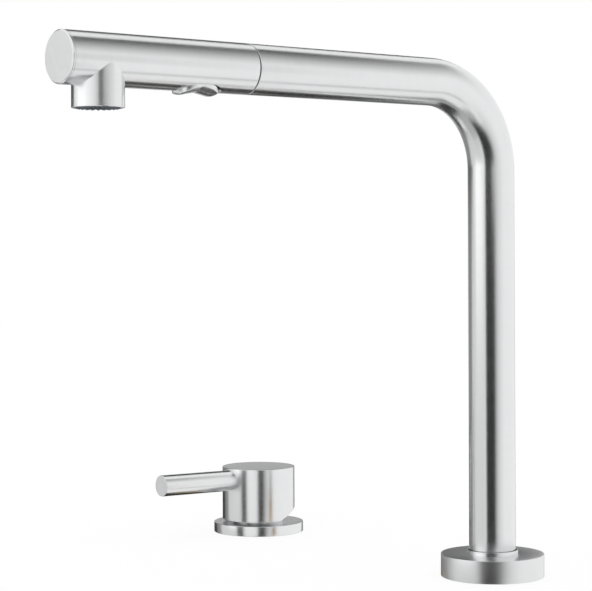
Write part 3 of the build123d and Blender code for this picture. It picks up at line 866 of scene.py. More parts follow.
def dress(piece, body, slot, replaced, *finishes):
    """Gives a finished piece its materials and body, and hides the solids that it stands for.

    A piece that bends between two bodies has none of its own. Its slot is not used.
    """
    piece.data.materials.clear()
    for finish in finishes:
        piece.data.materials.append(finish)
    if body:
        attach(piece, body)
    if replaced:
        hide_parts(*replaced)


def paint_faces(piece, index, chosen):
    """Gives the faces that chosen(centre, normal) picks another of the piece's materials."""
    for face in piece.data.polygons:
        if chosen(face.center, face.normal):
            face.material_index = index


# Materials


class Recipe:
    """A node tree under construction, with its nodes laid out from left to right."""

    def __init__(self, tree):
        self.tree = tree
        self.column = 0

    def add(self, kind, **values):
        """Adds a node to the right of the last one and sets its properties."""
        node = self.tree.nodes.new(kind)
        node.location = (self.column * 200, 0)
        self.column += 1
        for key, value in values.items():
            setattr(node, key, value)
        return node

    def link(self, source, target):
        """Links an output to an input."""
        self.tree.links.new(source, target)

    def feed(self, target, value):
        """Gives an input a socket to read, or a value of its own."""
        if isinstance(value, bpy.types.NodeSocket):
            self.link(value, target)
        else:
            target.default_value = value

    def maths(self, operation, first, second=None):
        """A Math node whose two inputs are each a number or a socket."""
        node = self.add("ShaderNodeMath", operation=operation)
        self.feed(node.inputs[0], first)
        if second is not None:
            self.feed(node.inputs[1], second)
        return node.outputs[0]

    def mix(self, factor, first, second, blend="MIX"):
        """A colour mix whose inputs are each a value or a socket."""
        node = self.add("ShaderNodeMix", data_type="RGBA", blend_type=blend)
        for number, value in ((0, factor), (6, first), (7, second)):
            self.feed(node.inputs[number], value)
        return node.outputs[2]

    def noise(self, place, scale, detail):
        """The value of a noise texture."""
        node = self.add("ShaderNodeTexNoise")
        node.inputs["Scale"].default_value = scale
        node.inputs["Detail"].default_value = detail
        self.link(place, node.inputs["Vector"])
        return node.outputs[0]

    def divided(self, place, size):
        """A place divided by a size, both of them sockets."""
        node = self.add("ShaderNodeVectorMath", operation="SCALE")
        self.link(place, node.inputs[0])
        self.link(self.maths("DIVIDE", 1.0, size), node.inputs["Scale"])
        return node.outputs[0]


def new_group(name, inputs, outputs):
    """Starts a shader node group with named sockets, its inputs given as (name, kind, default)."""
    group = bpy.data.node_groups.new(name, "ShaderNodeTree")
    for label, kind, default in inputs:
        socket = group.interface.new_socket(name=label, in_out="INPUT", socket_type=kind)
        if default is not None:
            socket.default_value = default
    for label, kind in outputs:
        group.interface.new_socket(name=label, in_out="OUTPUT", socket_type=kind)
    recipe = Recipe(group)
    return recipe, recipe.add("NodeGroupInput").outputs


def finish_group(recipe, **results):
    """Links a group's results to its outputs, and gives the group."""
    sink = recipe.add("NodeGroupOutput")
    for label, socket in results.items():
        recipe.link(socket, sink.inputs[label])
    return recipe.tree


def brush_lines_group():
    """Fine lines across the first direction of a map, broken up along their length."""
    recipe, source = new_group(
        "Brush lines",
        [
            ("Map", "NodeSocketVector", None),
            ("Line spacing", "NodeSocketFloat", 0.0002),
            ("Line length", "NodeSocketFloat", 0.02),
        ],
        [("Lines", "NodeSocketFloat"), ("Bands", "NodeSocketFloat")],
    )
    parts = recipe.add("ShaderNodeSeparateXYZ")
    recipe.link(source["Map"], parts.inputs[0])
    across = recipe.maths("DIVIDE", parts.outputs["X"], source["Line spacing"])
    along = recipe.maths("DIVIDE", parts.outputs["Y"], source["Line length"])
    joined = recipe.add("ShaderNodeCombineXYZ")
    recipe.link(across, joined.inputs["X"])
    recipe.link(along, joined.inputs["Y"])
    recipe.link(parts.outputs["Z"], joined.inputs["Z"])
    fine = recipe.noise(joined.outputs[0], 1.0, 3.0)
    broad = recipe.noise(joined.outputs[0], 0.07, 2.0)
    return finish_group(recipe, Lines=fine, Bands=broad)


def surface_wear_group():
    """Soft cloudiness of handling."""
    recipe, source = new_group(
        "Surface wear",
        [("Place", "NodeSocketVector", None), ("Cloud size", "NodeSocketFloat", 0.02)],
        [("Clouds", "NodeSocketFloat")],
    )
    scaled = recipe.divided(source["Place"], source["Cloud size"])
    return finish_group(recipe, Clouds=recipe.noise(scaled, 1.0, 4.0))


def moulded_grain_group():
    """The pebbled skin and slight marbling of a moulded part."""
    recipe, source = new_group(
        "Moulded grain",
        [("Place", "NodeSocketVector", None), ("Grain size", "NodeSocketFloat", 0.0004)],
        [("Grain", "NodeSocketFloat"), ("Marbling", "NodeSocketFloat")],
    )
    scaled = recipe.divided(source["Place"], source["Grain size"])
    pebbles = recipe.add("ShaderNodeTexVoronoi", feature="SMOOTH_F1")
    pebbles.inputs["Scale"].default_value = 1.0
    recipe.link(scaled, pebbles.inputs["Vector"])
    marbling = recipe.noise(scaled, 0.03, 5.0)
    return finish_group(recipe, Grain=pebbles.outputs["Distance"], Marbling=marbling)


def braid_group():
    """Strands of fine wire that cross over and under each other along both diagonals of a map."""
    recipe, source = new_group(
        "Braid",
        [
            ("Map", "NodeSocketVector", None),
            ("Strand width", "NodeSocketFloat", 0.0025),
            ("Wires", "NodeSocketFloat", 5.0),
        ],
        [("Height", "NodeSocketFloat")],
    )
    parts = recipe.add("ShaderNodeSeparateXYZ")
    recipe.link(source["Map"], parts.inputs[0])

    def diagonal(operation):
        """How many strands along one of the diagonals a place is."""
        place = recipe.maths(operation, parts.outputs["Y"], parts.outputs["X"])
        return recipe.maths("DIVIDE", place, source["Strand width"])

    def rounded(value):
        """A row of round backs, one to each whole number."""
        return recipe.maths("ABSOLUTE", recipe.maths("SINE", recipe.maths("MULTIPLY", value, pi)))

    def strand(value):
        """The back of a strand, with the lines between its wires."""
        wires = rounded(recipe.maths("MULTIPLY", value, source["Wires"]))
        lines = recipe.maths("ADD", recipe.maths("MULTIPLY", wires, 0.4), 0.6)
        return recipe.maths("MULTIPLY", rounded(value), lines)

    first, second = diagonal("ADD"), diagonal("SUBTRACT")
    steps = recipe.maths("ADD", recipe.maths("FLOOR", first), recipe.maths("FLOOR", second))
    over = recipe.maths("FLOORED_MODULO", steps, 2.0)
    lower = strand(first)
    rise = recipe.maths("SUBTRACT", strand(second), lower)
    height = recipe.maths("ADD", lower, recipe.maths("MULTIPLY", rise, over))
    return finish_group(recipe, Height=height)


def start_material(name):
    """A new material, its recipe and its main shader."""
    material = bpy.data.materials.new(name)
    material.use_nodes = True
    recipe = Recipe(material.node_tree)
    shader = material.node_tree.nodes["Principled BSDF"]
    shader.location = (2400, 0)
    material.node_tree.nodes["Material Output"].location = (2800, 0)
    return material, recipe, shader


def place_group(recipe, name, maker, **values):
    """Adds a group, which all materials share, and sets its inputs, each from a number or a socket."""
    node = recipe.add("ShaderNodeGroup", node_tree=bpy.data.node_groups.get(name) or maker())
    for label, value in values.items():
        recipe.feed(node.inputs[label.replace("_", " ")], value)
    return node.outputs


def object_place(recipe):
    """The place on the piece that a pattern is laid by."""
    return recipe.add("ShaderNodeTexCoord").outputs["Object"]


def ranged(recipe, value, low, high):
    """Maps a 0 to 1 value on a new range."""
    node = recipe.add("ShaderNodeMapRange", clamp=False)
    recipe.link(value, node.inputs["Value"])
    node.inputs["To Min"].default_value = low
    node.inputs["To Max"].default_value = high
    return node.outputs[0]


def grey(value):
    """A grey of one value, with full opacity."""
    return (value, value, value, 1)


def shaded(recipe, colour, shade):
    """A colour multiplied by a value that changes over the surface."""
    tint = recipe.add("ShaderNodeCombineColor")
    for socket in tint.inputs:
        recipe.link(shade, socket)
    return recipe.mix(1.0, (*colour, 1), tint.outputs[0], "MULTIPLY")


def steel(name, roughness, stretch):
    """Steel with brush lines along the second direction of the grain map."""
    found = bpy.data.materials.get(name)
    if found:
        return found
    settings = bpy.context.scene.tap_steel
    material, recipe, shader = start_material(name)
    grain = recipe.add("ShaderNodeUVMap", uv_map="grain")
    lines = place_group(
        recipe,
        "Brush lines",
        brush_lines_group,
        Map=grain.outputs[0],
        Line_spacing=settings.grain_pitch,
        Line_length=0.012,
    )
    place = object_place(recipe)
    wear = place_group(recipe, "Surface wear", surface_wear_group, Place=place, Cloud_size=0.02)
    darkening = ranged(recipe, lines["Lines"], 0.93, 1.05)
    clouding = ranged(recipe, wear["Clouds"], 0.985, 1.015)
    shade = recipe.maths("MULTIPLY", darkening, clouding)
    recipe.link(shaded(recipe, settings.colour, shade), shader.inputs["Base Color"])
    banding = ranged(recipe, lines["Bands"], -0.03, 0.03)
    recipe.link(recipe.maths("ADD", banding, roughness), shader.inputs["Roughness"])
    bumped(recipe, shader, lines["Lines"], 0.08, 0.00002)
    tangent = recipe.add("ShaderNodeTangent", direction_type="UV_MAP", uv_map="grain")
    recipe.link(tangent.outputs[0], shader.inputs["Tangent"])
    shader.inputs["Metallic"].default_value = 1.0
    shader.inputs["Anisotropic"].default_value = stretch
    return material


def turned_steel():
    """Steel brushed round its axis, which draws highlights out along it."""
    settings = bpy.context.scene.tap_steel
    return steel("turned_steel", settings.roughness, settings.stretch)


def satin_steel():
    """Steel with a soft satin side, as the tall rosette's."""
    return steel("satin_steel", bpy.context.scene.tap_steel.satin_roughness, 0.0)


def faced_steel():
    """Steel with an even satin face."""
    return steel("faced_steel", bpy.context.scene.tap_steel.face_roughness, 0.0)


def bumped(recipe, shader, height, strength, distance):
    """Raises the surface by a value that changes over it."""
    bump = recipe.add("ShaderNodeBump")
    bump.inputs["Strength"].default_value = strength
    bump.inputs["Distance"].default_value = distance
    recipe.link(height, bump.inputs["Height"])
    recipe.link(bump.outputs[0], shader.inputs["Normal"])


def machined(name, colour, roughness):
    """Machined metal with turning lines round the upright and the cloudiness of handling."""
    material, recipe, shader = start_material(name)
    place = object_place(recipe)
    parts = recipe.add("ShaderNodeSeparateXYZ")
    recipe.link(place, parts.inputs[0])
    turned_round = recipe.add("ShaderNodeCombineXYZ")
    for source, target in zip("ZXY", "XYZ"):
        recipe.link(parts.outputs[source], turned_round.inputs[target])
    lines = place_group(
        recipe,
        "Brush lines",
        brush_lines_group,
        Map=turned_round.outputs[0],
        Line_spacing=0.0003,
        Line_length=0.01,
    )
    wear = place_group(recipe, "Surface wear", surface_wear_group, Place=place, Cloud_size=0.012)
    darkening = ranged(recipe, lines["Lines"], 0.88, 1.08)
    clouding = ranged(recipe, wear["Clouds"], 0.92, 1.06)
    shade = recipe.maths("MULTIPLY", darkening, clouding)
    recipe.link(shaded(recipe, colour, shade), shader.inputs["Base Color"])
    mottling = ranged(recipe, wear["Clouds"], roughness - 0.08, roughness + 0.08)
    recipe.link(mottling, shader.inputs["Roughness"])
    bumped(recipe, shader, lines["Lines"], 0.15, 0.00003)
    shader.inputs["Metallic"].default_value = 1.0
    return material


def moulded(name, colour, roughness, grain, relief):
    """A moulded part with its pebbled skin and slight marbling."""
    material, recipe, shader = start_material(name)
    place = object_place(recipe)
    skin = place_group(recipe, "Moulded grain", moulded_grain_group, Place=place, Grain_size=grain)
    shade = ranged(recipe, skin["Marbling"], 0.86, 1.12)
    recipe.link(shaded(recipe, colour, shade), shader.inputs["Base Color"])
    mottling = ranged(recipe, skin["Marbling"], roughness - 0.06, roughness + 0.06)
    recipe.link(mottling, shader.inputs["Roughness"])
    bumped(recipe, shader, skin["Grain"], relief, 0.00005)
    return material


def braided_steel(strand_width):
    """The hose's braid of fine steel wire, its colour darkened by painted shade in the grooves between
    strands and wires.
    """
    material, recipe, shader = start_material("braided_steel")
    grain = recipe.add("ShaderNodeUVMap", uv_map="grain")
    braid = place_group(recipe, "Braid", braid_group, Map=grain.outputs[0], Strand_width=strand_width)
    # Painted shade: the colour falls with the braid's height, darkest in the grooves between strands and
    # between wires
    shade = ranged(recipe, braid["Height"], 0.12, 1.05)
    recipe.link(shaded(recipe, (0.72, 0.73, 0.74), shade), shader.inputs["Base Color"])
    recipe.link(ranged(recipe, braid["Height"], 0.55, 0.3), shader.inputs["Roughness"])
    bumped(recipe, shader, braid["Height"], 0.6, 0.0004)
    shader.inputs["Metallic"].default_value = 1.0
    return material


# What each of the record's material slots is made of, for the solids that stay as they are
SLOT_FINISHES = {
    "brushed_steel": (machined, (0.78, 0.785, 0.79), 0.32),
    "plain_steel": (machined, (0.62, 0.63, 0.64), 0.3),
    "brass": (machined, (0.76, 0.56, 0.27), 0.28),
    "hose_braid": (machined, (0.7, 0.71, 0.72), 0.35),
    "white_plastic": (moulded, (0.80, 0.80, 0.77), 0.42, 0.0005, 0.15),
    "black_plastic": (moulded, (0.022, 0.023, 0.025), 0.42, 0.0004, 0.3),
    "black_rubber": (moulded, (0.016, 0.016, 0.017), 0.72, 0.0003, 0.4),
    "grey_rubber": (moulded, (0.085, 0.10, 0.12), 0.6, 0.0003, 0.3),
    "ceramic": (moulded, (0.86, 0.85, 0.81), 0.16, 0.0002, 0.04),
}


def slot_finish(slot):
    """The material of one of the record's slots."""
    maker, *values = SLOT_FINISHES[slot]
    return bpy.data.materials.get("finish_" + slot) or maker("finish_" + slot, *values)


# Operators


class TAP_OT_spout_tube(bpy.types.Operator):
    """Bends the spout's brushed steel tube"""

    bl_idname = "tap.spout_tube"
    bl_label = "Spout tube"

    def execute(self, context):
        spout = context.scene.tap_spout
        tube = start_ring("bent_tube", (0, 0, tube_low.z), UP, TUBE_RADIUS, spout.sides)
        draw_out(UP * (ARM_HEIGHT - spout.bend_radius - tube_low.z))
        bend_forward(spout.bend_radius, TUBE_BEND_STEPS)
        draw_out(FORWARD * (-spout.bend_radius - ARM_END))
        close_mesh()
        apply_modifier(tube, "SOLIDIFY", thickness=spout.wall, offset=-1)
        round_edges(tube, context.scene.tap_steel.edge)
        lay_grain(tube, bent_flow(TUBE_RADIUS))
        dress(tube, "spout", "brushed_steel", ["spout_tube"], turned_steel())
        return {"FINISHED"}


def dress_turned(piece, centre, axis, radius, body, replaced):
    """Finishes a turned steel piece: brushed round its sides, satin on its flat faces."""
    smooth(piece)
    lay_grain(piece, round_flow(centre, axis, radius))
    dress(piece, body, "brushed_steel", replaced, turned_steel(), faced_steel())
    paint_faces(piece, 1, lambda middle, normal: abs(normal.dot(axis)) > 0.9)


def cover_outline(height, top, outer, wall, hole):
    """The outline of a rosette: a top with a hole in its middle, and a side wall down to the worktop."""
    inner = outer - wall
    under = height - top
    outside = [(height, hole), (height, outer), (0, outer)]
    inside = [(0, inner), (under, inner), (under, hole)]
    return [*outside, *inside, (height, hole)]


class TAP_OT_rosettes(bpy.types.Operator):
    """Turns the two rosettes and the thin collar that stands round the tube"""

    bl_idname = "tap.rosettes"
    bl_label = "Rosettes and collar"

    def execute(self, context):
        spout, mixer = context.scene.tap_spout, context.scene.tap_mixer
        edge = context.scene.tap_steel.edge
        collar_inner = TUBE_RADIUS + spout.collar_gap
        collar_outer = collar_inner + spout.collar_wall
        radius = rosette_high.x
        outline = cover_outline(rosette_high.z, spout.rosette_top, radius, spout.rosette_wall, collar_outer)
        tall = turned("tall_rosette", SPOUT_FOOT, UP, soften(outline, edge), spout.sides)
        dress_turned(tall, SPOUT_FOOT, UP, radius, "base", ["spout_rosette"])
        tall.data.materials[0] = satin_steel()

        flange_top = rosette_high.z - spout.rosette_top
        outline = [
            (collar_low.z, collar_inner),
            (collar_low.z, collar_high.x),
            (flange_top, collar_high.x),
            (flange_top, collar_outer),
            (collar_high.z, collar_outer),
            (collar_high.z, collar_inner),
            (collar_low.z, collar_inner),
        ]
        collar = turned("tube_collar", SPOUT_FOOT, UP, soften(outline, edge), spout.sides)
        dress_turned(collar, SPOUT_FOOT, UP, collar_outer, "base", ["collar_ring"])

        radius = mixer_high.x - MIXER_X
        neck = mixer.neck_radius + spout.neck_gap
        outline = cover_outline(mixer_high.z, mixer.rosette_top, radius, spout.rosette_wall, neck)
        low = turned("low_rosette", MIXER_FOOT, UP, soften(outline, edge), spout.sides)
        dress_turned(low, MIXER_FOOT, UP, radius, "base", ["mixer_rosette"])
        return {"FINISHED"}


class TAP_OT_handset(bpy.types.Operator):
    """Models the handset's casing with its short nozzle, and the disc that closes its front"""

    bl_idname = "tap.handset"
    bl_label = "Handset casing"

    def execute(self, context):
        handset = context.scene.tap_handset
        edge = context.scene.tap_steel.edge
        rear, front, tip = -shell_high.y, -shell_low.y, -cap_low.y
        bore = TUBE_RADIUS - context.scene.tap_spout.wall
        nozzle_radius = handset.nozzle_diameter / 2
        nozzle_bore = nozzle_radius - handset.nozzle_wall
        past = handset.cutting_margin

        def arm(name, radius, start, end):
            """A rod along the arm's line."""
            return turned(name, ARM_LINE, FORWARD, [(start, radius), (end, radius)], handset.sides)

        def post(name, radius, low, high):
            """A rod along the nozzle's line."""
            return turned(name, NOZZLE_LINE, UP, [(low, radius), (high, radius)], handset.sides)

        outline = [(rear, bore), (rear, TUBE_RADIUS), (front, TUBE_RADIUS)]
        casing = turned("handset_casing", ARM_LINE, FORWARD, soften(outline, edge), handset.sides)
        outline = [(ARM_HEIGHT, nozzle_radius), (shell_low.z, nozzle_radius), (shell_low.z, nozzle_bore)]
        combine(casing, turned("nozzle", NOZZLE_LINE, UP, soften(outline, edge), handset.sides), "UNION")
        cut_away(casing, arm("arm_bore", bore, rear - past, front + past))
        cut_away(casing, post("nozzle_bore", nozzle_bore, shell_low.z - past, ARM_HEIGHT))
        cut_away(casing, rocker_opening(handset))
        true_normals(
            casing,
            [
                (ARM_LINE, FORWARD, TUBE_RADIUS),
                (NOZZLE_LINE, UP, nozzle_radius),
                (ARM_LINE, FORWARD, bore),
                (NOZZLE_LINE, UP, nozzle_bore),
            ],
        )
        along_arm = round_flow(ARM_LINE, FORWARD, TUBE_RADIUS)
        along_nozzle = round_flow(NOZZLE_LINE, UP, nozzle_radius)

        def flow(point, normal):
            """Grain that goes round the arm, and round the nozzle below it."""
            away = normal.dot(Vector((point.x, 0, point.z - ARM_HEIGHT)).normalized())
            return along_arm(point, normal) if away > 0.999 else along_nozzle(point, normal)

        lay_grain(casing, flow)
        dress(casing, "handset", "brushed_steel", ["handset_shell"], turned_steel())

        outline = [
            (-cap_high.y, bore),
            (front, bore),
            (front, TUBE_RADIUS),
            (tip - handset.front_chamfer, TUBE_RADIUS),
            (tip, TUBE_RADIUS - handset.front_chamfer),
        ]
        outline = soften(outline, handset.front_chamfer / 3)
        disc = turned("front_disc", ARM_LINE, FORWARD, outline, spout_sides())
        dress_turned(disc, ARM_LINE, FORWARD, TUBE_RADIUS, "handset", ["front_cap"])
        return {"FINISHED"}


def spout_sides():
    """Faces round a turned piece."""
    return bpy.context.scene.tap_spout.sides


def oval_ring(name, front, rear, half_width, height, sides, cuts):
    """A ring with two straight sides and two round ends, left open in edit mode."""
    middle = (front + rear) / 2
    piece = start_ring(name, (0, middle, height), UP, half_width, sides)
    stretch = (rear - front) / 2 - half_width
    bpy.ops.object.mode_set(mode="OBJECT")
    for vertex in piece.data.vertices:
        side = 1 if vertex.co.y > 0 else -1
        vertex.co.y += side * stretch
    bpy.ops.object.mode_set(mode="EDIT")
    if cuts:
        bpy.ops.mesh.select_all(action="DESELECT")
        bpy.ops.object.mode_set(mode="OBJECT")
        for line in piece.data.edges:
            first, second = (piece.data.vertices[index].co for index in line.vertices)
            line.select = first.y * second.y < 0
        bpy.ops.object.mode_set(mode="EDIT")
        bpy.ops.mesh.subdivide(number_cuts=cuts)
    bpy.ops.mesh.select_all(action="SELECT")
    return piece


def rocker_opening(handset):
    """The tool that cuts the rocker's long hole in the casing."""
    front = rocker_low.y - handset.hole_front_gap
    rear = rocker_high.y + handset.hole_rear_gap
    half_width = rocker_high.x + handset.hole_side_gap
    low = ARM_HEIGHT - TUBE_RADIUS - handset.cutting_margin
    high = ARM_HEIGHT - handset.hole_depth
    tool = oval_ring("rocker_hole", front, rear, half_width, low, HOLE_SIDES, 0)
    draw_out(UP * (high - low))
    cap_ends()
    close_mesh()
    return tool


class TAP_OT_rocker(bpy.types.Operator):
    """Models the wavy rocker under the handset"""

    bl_idname = "tap.rocker"
    bl_label = "Rocker"

    def execute(self, context):
        rocker = context.scene.tap_rocker
        front, rear, half_width = rocker_low.y, rocker_high.y, rocker_high.x
        top = ARM_HEIGHT - rocker.top_depth
        piece = oval_ring("wave_rocker", front, rear, half_width, top, rocker.sides, rocker.side_cuts)
        draw_out(-UP * rocker.top_depth / 4)
        bpy.ops.mesh.edge_face_add()
        inset = 0.0
        for turn in (25, 50, 70, 90):
            reach = rocker.edge * (1 - cos(radians(turn)))
            bpy.ops.mesh.inset(thickness=reach - inset)
            inset = reach
        slice_selected(BACK, rocker_stations(rocker))
        slice_selected(ACROSS, [half_width * step / 8 for step in range(-7, 8)])
        cap_ends()
        bpy.ops.object.mode_set(mode="OBJECT")
        bpy.ops.object.transform_apply(location=True, rotation=True, scale=True)
        for vertex in piece.data.vertices:
            if vertex.co.z < top - MILLIMETRE:
                depth = wave_depth(rocker, vertex.co.y) - rim_rise(rocker, vertex.co)
                vertex.co.z = ARM_HEIGHT - sqrt(depth**2 - vertex.co.x**2)
        bpy.ops.object.mode_set(mode="EDIT")
        close_mesh()
        smooth(piece)
        lay_grain(piece, round_flow(ARM_LINE, FORWARD, TUBE_RADIUS))
        dress(piece, "rocker", "brushed_steel", ["toggle"], turned_steel())
        return {"FINISHED"}


def slice_selected(direction, places):
    """Cuts the faces that are selected square to a direction, at each place along it."""
    bpy.ops.mesh.select_mode(type="FACE")
    for place in places:
        bpy.ops.mesh.bisect(plane_co=tuple(direction * place), plane_no=tuple(direction))
        select_low_faces()
    bpy.ops.mesh.select_mode(type="VERT")


def select_low_faces():
    """Selects the level faces of the piece in edit mode that lie lowest."""
    piece = bpy.context.object
    bpy.ops.object.mode_set(mode="OBJECT")
    lowest = min(face.center.z for face in piece.data.polygons)
    for face in piece.data.polygons:
        face.select = face.center.z < lowest + MILLIMETRE / 100
    bpy.ops.object.mode_set(mode="EDIT")


def rocker_stations(rocker):
    """The places along the arm where the rocker's underside is cut to take its wave."""
    front_middle = rocker_low.y + rocker.front_lobe
    rear_middle = rocker_high.y - rocker.rear_lobe
    crease = (front_middle + rear_middle) / 2
    facet = (rear_middle - front_middle) / 2
    stations = [crease]
    for share in (0.03, 0.07, 0.13, 0.25, 0.5, 0.75, 0.9):
        stations += [crease - facet * share, crease + facet * share]
    for turn in range(0, 90, 10):
        reach = sin(radians(turn))
        stations += [front_middle - rocker.front_lobe * reach, rear_middle + rocker.rear_lobe * reach]
    return stations


def rim_rise(rocker, point):
    """How far the rounded rim of the underside lies above the wave, by the distance from the rim."""
    half_width = rocker_high.x
    spine_front, spine_rear = rocker_low.y + half_width, rocker_high.y - half_width
    nearest = min(max(point.y, spine_front), spine_rear)
    inset = half_width - hypot(point.x, point.y - nearest)
    left = max(0.0, rocker.edge - inset)
    return rocker.edge - sqrt(rocker.edge**2 - min(left, rocker.edge) ** 2)


def wave_depth(rocker, y):
    """How far the rocker's underside lies from the arm's centre line, at a place along the arm."""
    front, rear = rocker_low.y, rocker_high.y
    front_middle, rear_middle = front + rocker.front_lobe, rear - rocker.rear_lobe
    if y < front_middle:
        reach = min(1.0, (front_middle - y) / rocker.front_lobe)
        return rocker.front_depth - rocker.front_lobe * (1 - sqrt(1 - reach**2))
    if y > rear_middle:
        reach = min(1.0, (y - rear_middle) / rocker.rear_lobe)
        return rocker.rear_depth - rocker.rear_lobe * (1 - sqrt(1 - reach**2))
    share = (y - front_middle) / (rear_middle - front_middle)
    level = rocker.front_depth + (rocker.rear_depth - rocker.front_depth) * share
    dip = (rocker.front_depth + rocker.rear_depth) / 2 - rocker.valley_depth
    return level - dip * (1 - hypot(2 * share - 1, rocker.crease)) / (1 - rocker.crease)


class TAP_OT_mixer(bpy.types.Operator):
    """Models the lever mixer's cap and its round lever"""

    bl_idname = "tap.mixer"
    bl_label = "Mixer cap and lever"

    def execute(self, context):
        mixer = context.scene.tap_mixer
        edge = context.scene.tap_steel.edge
        radius = mixer.cap_diameter / 2
        inner = radius - mixer.cap_wall
        ceiling = handle_high.z - mixer.cap_top
        turn = Matrix.Rotation(mixer.lever_turn, 3, "Z")
        forward = turn @ Matrix.Rotation(-mixer.lever_rise, 3, "X") @ FORWARD
        outline = [
            (ceiling, inner),
            (handle_low.z, inner),
            (handle_low.z, radius),
            (handle_high.z, radius),
            (handle_high.z, inner),
        ]
        cap = turned("lever_cap", MIXER_FOOT, UP, soften(outline, edge), spout_sides())
        cut_away(cap, cap_wedge(mixer, radius))
        dress_turned(cap, MIXER_FOOT, UP, radius, "handle", ["handle_cap"])

        lever_radius = mixer.lever_diameter / 2
        height = mixer.lever_height
        line = MIXER_FOOT + UP * height
        outline = [
            (inner, lever_radius),
            (mixer.lever_reach, lever_radius),
            (mixer.lever_reach, lever_radius - mixer.lever_chamfer),
        ]
        lever = turned("lever", line, forward, soften(outline, mixer.lever_chamfer), LEVER_SIDES)
        saddle_low, saddle_high = height - 2 * lever_radius, height + 2 * lever_radius
        outline = [(saddle_low, radius), (saddle_high, radius)]
        cut_away(lever, turned("saddle", MIXER_FOOT, UP, outline, SADDLE_SIDES))
        smooth(lever)
        lay_grain(lever, round_flow(line, forward, lever_radius))
        dress(lever, "handle", "brushed_steel", ["lever_rod"], turned_steel(), faced_steel())
        paint_faces(lever, 1, lambda middle, normal: normal.dot(forward) > 0.9)
        return {"FINISHED"}


def cap_wedge(mixer, radius):
    """The tool that cuts the slant behind and under the cap."""
    deselect_all()
    side = 4 * radius
    bpy.ops.mesh.primitive_cube_add(size=side, location=(0, side / 2, -side / 2))
    wedge = bpy.context.object
    bpy.ops.object.transform_apply(location=True, rotation=True, scale=True)
    slant = Matrix.Rotation(mixer.cut_angle, 4, "X")
    start = Matrix.Translation((0, -mixer.cut_start, handle_low.z))
    turn = Matrix.Rotation(mixer.lever_turn, 4, "Z")
    wedge.data.transform(Matrix.Translation(MIXER_FOOT) @ turn @ start @ slant)
    return wedge


class TAP_OT_spray_face(bpy.types.Operator):
    """Moulds the soft ring of nubs under the nozzle"""

    bl_idname = "tap.spray_face"
    bl_label = "Spray face"

    def execute(self, context):
        ring = context.scene.tap_spray_face
        face_low, face_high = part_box("spray_face")
        bottom, top, outer = face_low.z + ring.nub_length, face_high.z, face_high.x
        inner, radius, bore = ring.inner_radius, ring.nub_diameter / 2, ring.nub_bore / 2
        outline = [(bottom, inner), (bottom, outer), (top, outer), (top, inner), (bottom, inner)]
        face = turned("nub_face", NOZZLE_LINE, UP, soften(outline, ring.edge), spout_sides())
        root, dome = -radius / 4, radius * 0.8
        outline = [(root, radius)]
        for turn in range(15, 76, 20):
            rise = ring.nub_length - dome * (1 - sin(radians(turn)))
            outline.append((rise, radius * cos(radians(turn))))
        outline += [(ring.nub_length, bore), (ring.nub_length / 2, bore)]
        nub = turned("nub", NOZZLE_LINE + UP * bottom, -UP, outline, NUB_SIDES)
        to_nozzle, from_nozzle = Matrix.Translation(NOZZLE_LINE), Matrix.Translation(-NOZZLE_LINE)
        copies = []
        for row in (inner + ring.row_inset, outer - ring.row_inset):
            for step in range(ring.row_count):
                turn = Matrix.Rotation(tau * step / ring.row_count, 4, "Z")
                copy = add_object("nub_copy", nub.data.copy())
                copy.data.transform(to_nozzle @ (turn @ Matrix.Translation(ACROSS * row)) @ from_nozzle)
                copies.append(copy)
        bpy.data.objects.remove(nub)
        select_only(face)
        for copy in copies:
            copy.select_set(True)
        bpy.ops.object.join()
        smooth(face)
        dress(face, "handset", "grey_rubber", ["spray_face"], slot_finish("grey_rubber"))
        return {"FINISHED"}


class TAP_OT_hose(bpy.types.Operator):
    """Models the braided hose, which comes out of the tube with the handset, and the spool's small spring"""

    bl_idname = "tap.hose"
    bl_label = "Hose and spring"

    def execute(self, context):
        hose, spout = context.scene.tap_hose, context.scene.tap_spout
        hose_low, hose_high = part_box("pull_out_hose")
        radius = hose_high.x
        start, end = -spout.bend_radius, hose_low.y + MILLIMETRE
        piece = start_ring("braided_hose", (0, 0, hose_low.z), UP, radius, spout.sides // 2)
        draw_out(UP * (ARM_HEIGHT - spout.bend_radius - hose_low.z))
        bend_forward(spout.bend_radius, HOSE_BEND_STEPS)
        for _ in range(hose.cuts):
            draw_out(FORWARD * (start - end) / hose.cuts)
        draw_out(FORWARD * (end - hose_low.y))
        close_mesh()
        apply_modifier(piece, "SOLIDIFY", thickness=radius - hose.bore / 2, offset=-1)
        smooth(piece)
        at_rest = bent_flow(radius)

        def pulled_out(point, normal):
            """The braid's map, which is even once the hose is pulled out and its stretch is in view."""
            along, around, whole = at_rest(point, normal)
            share = min(1, max(0, (start - point.y) / (start - end)))
            return along + hose.travel * share**2 * (3 - 2 * share), around, whole

        lay_grain(piece, pulled_out)
        dress(piece, None, "hose_braid", ["pull_out_hose"], braided_steel(tau * radius / hose.strands))
        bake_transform(piece)

        spring_low, spring_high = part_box("spool_spring")
        wire = hose.spring_wire / 2
        line = Vector((0, spring_high.y - wire, (spring_low.z + spring_high.z) / 2))
        pitch = (spring_high.y - spring_low.y - 2 * wire) / hose.spring_turns
        coil_radius = spring_high.x - wire
        spring = wound("wound_spring", SPRING_WIRE_SIDES, wire, coil_radius, pitch, hose.spring_turns)
        spring.data.transform(Matrix.Translation(line) @ Matrix.Rotation(pi / 2, 4, "X"))
        smooth(spring)
        dress(spring, None, "plain_steel", ["spool_spring"], slot_finish("plain_steel"))
        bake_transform(spring)
        return {"FINISHED"}


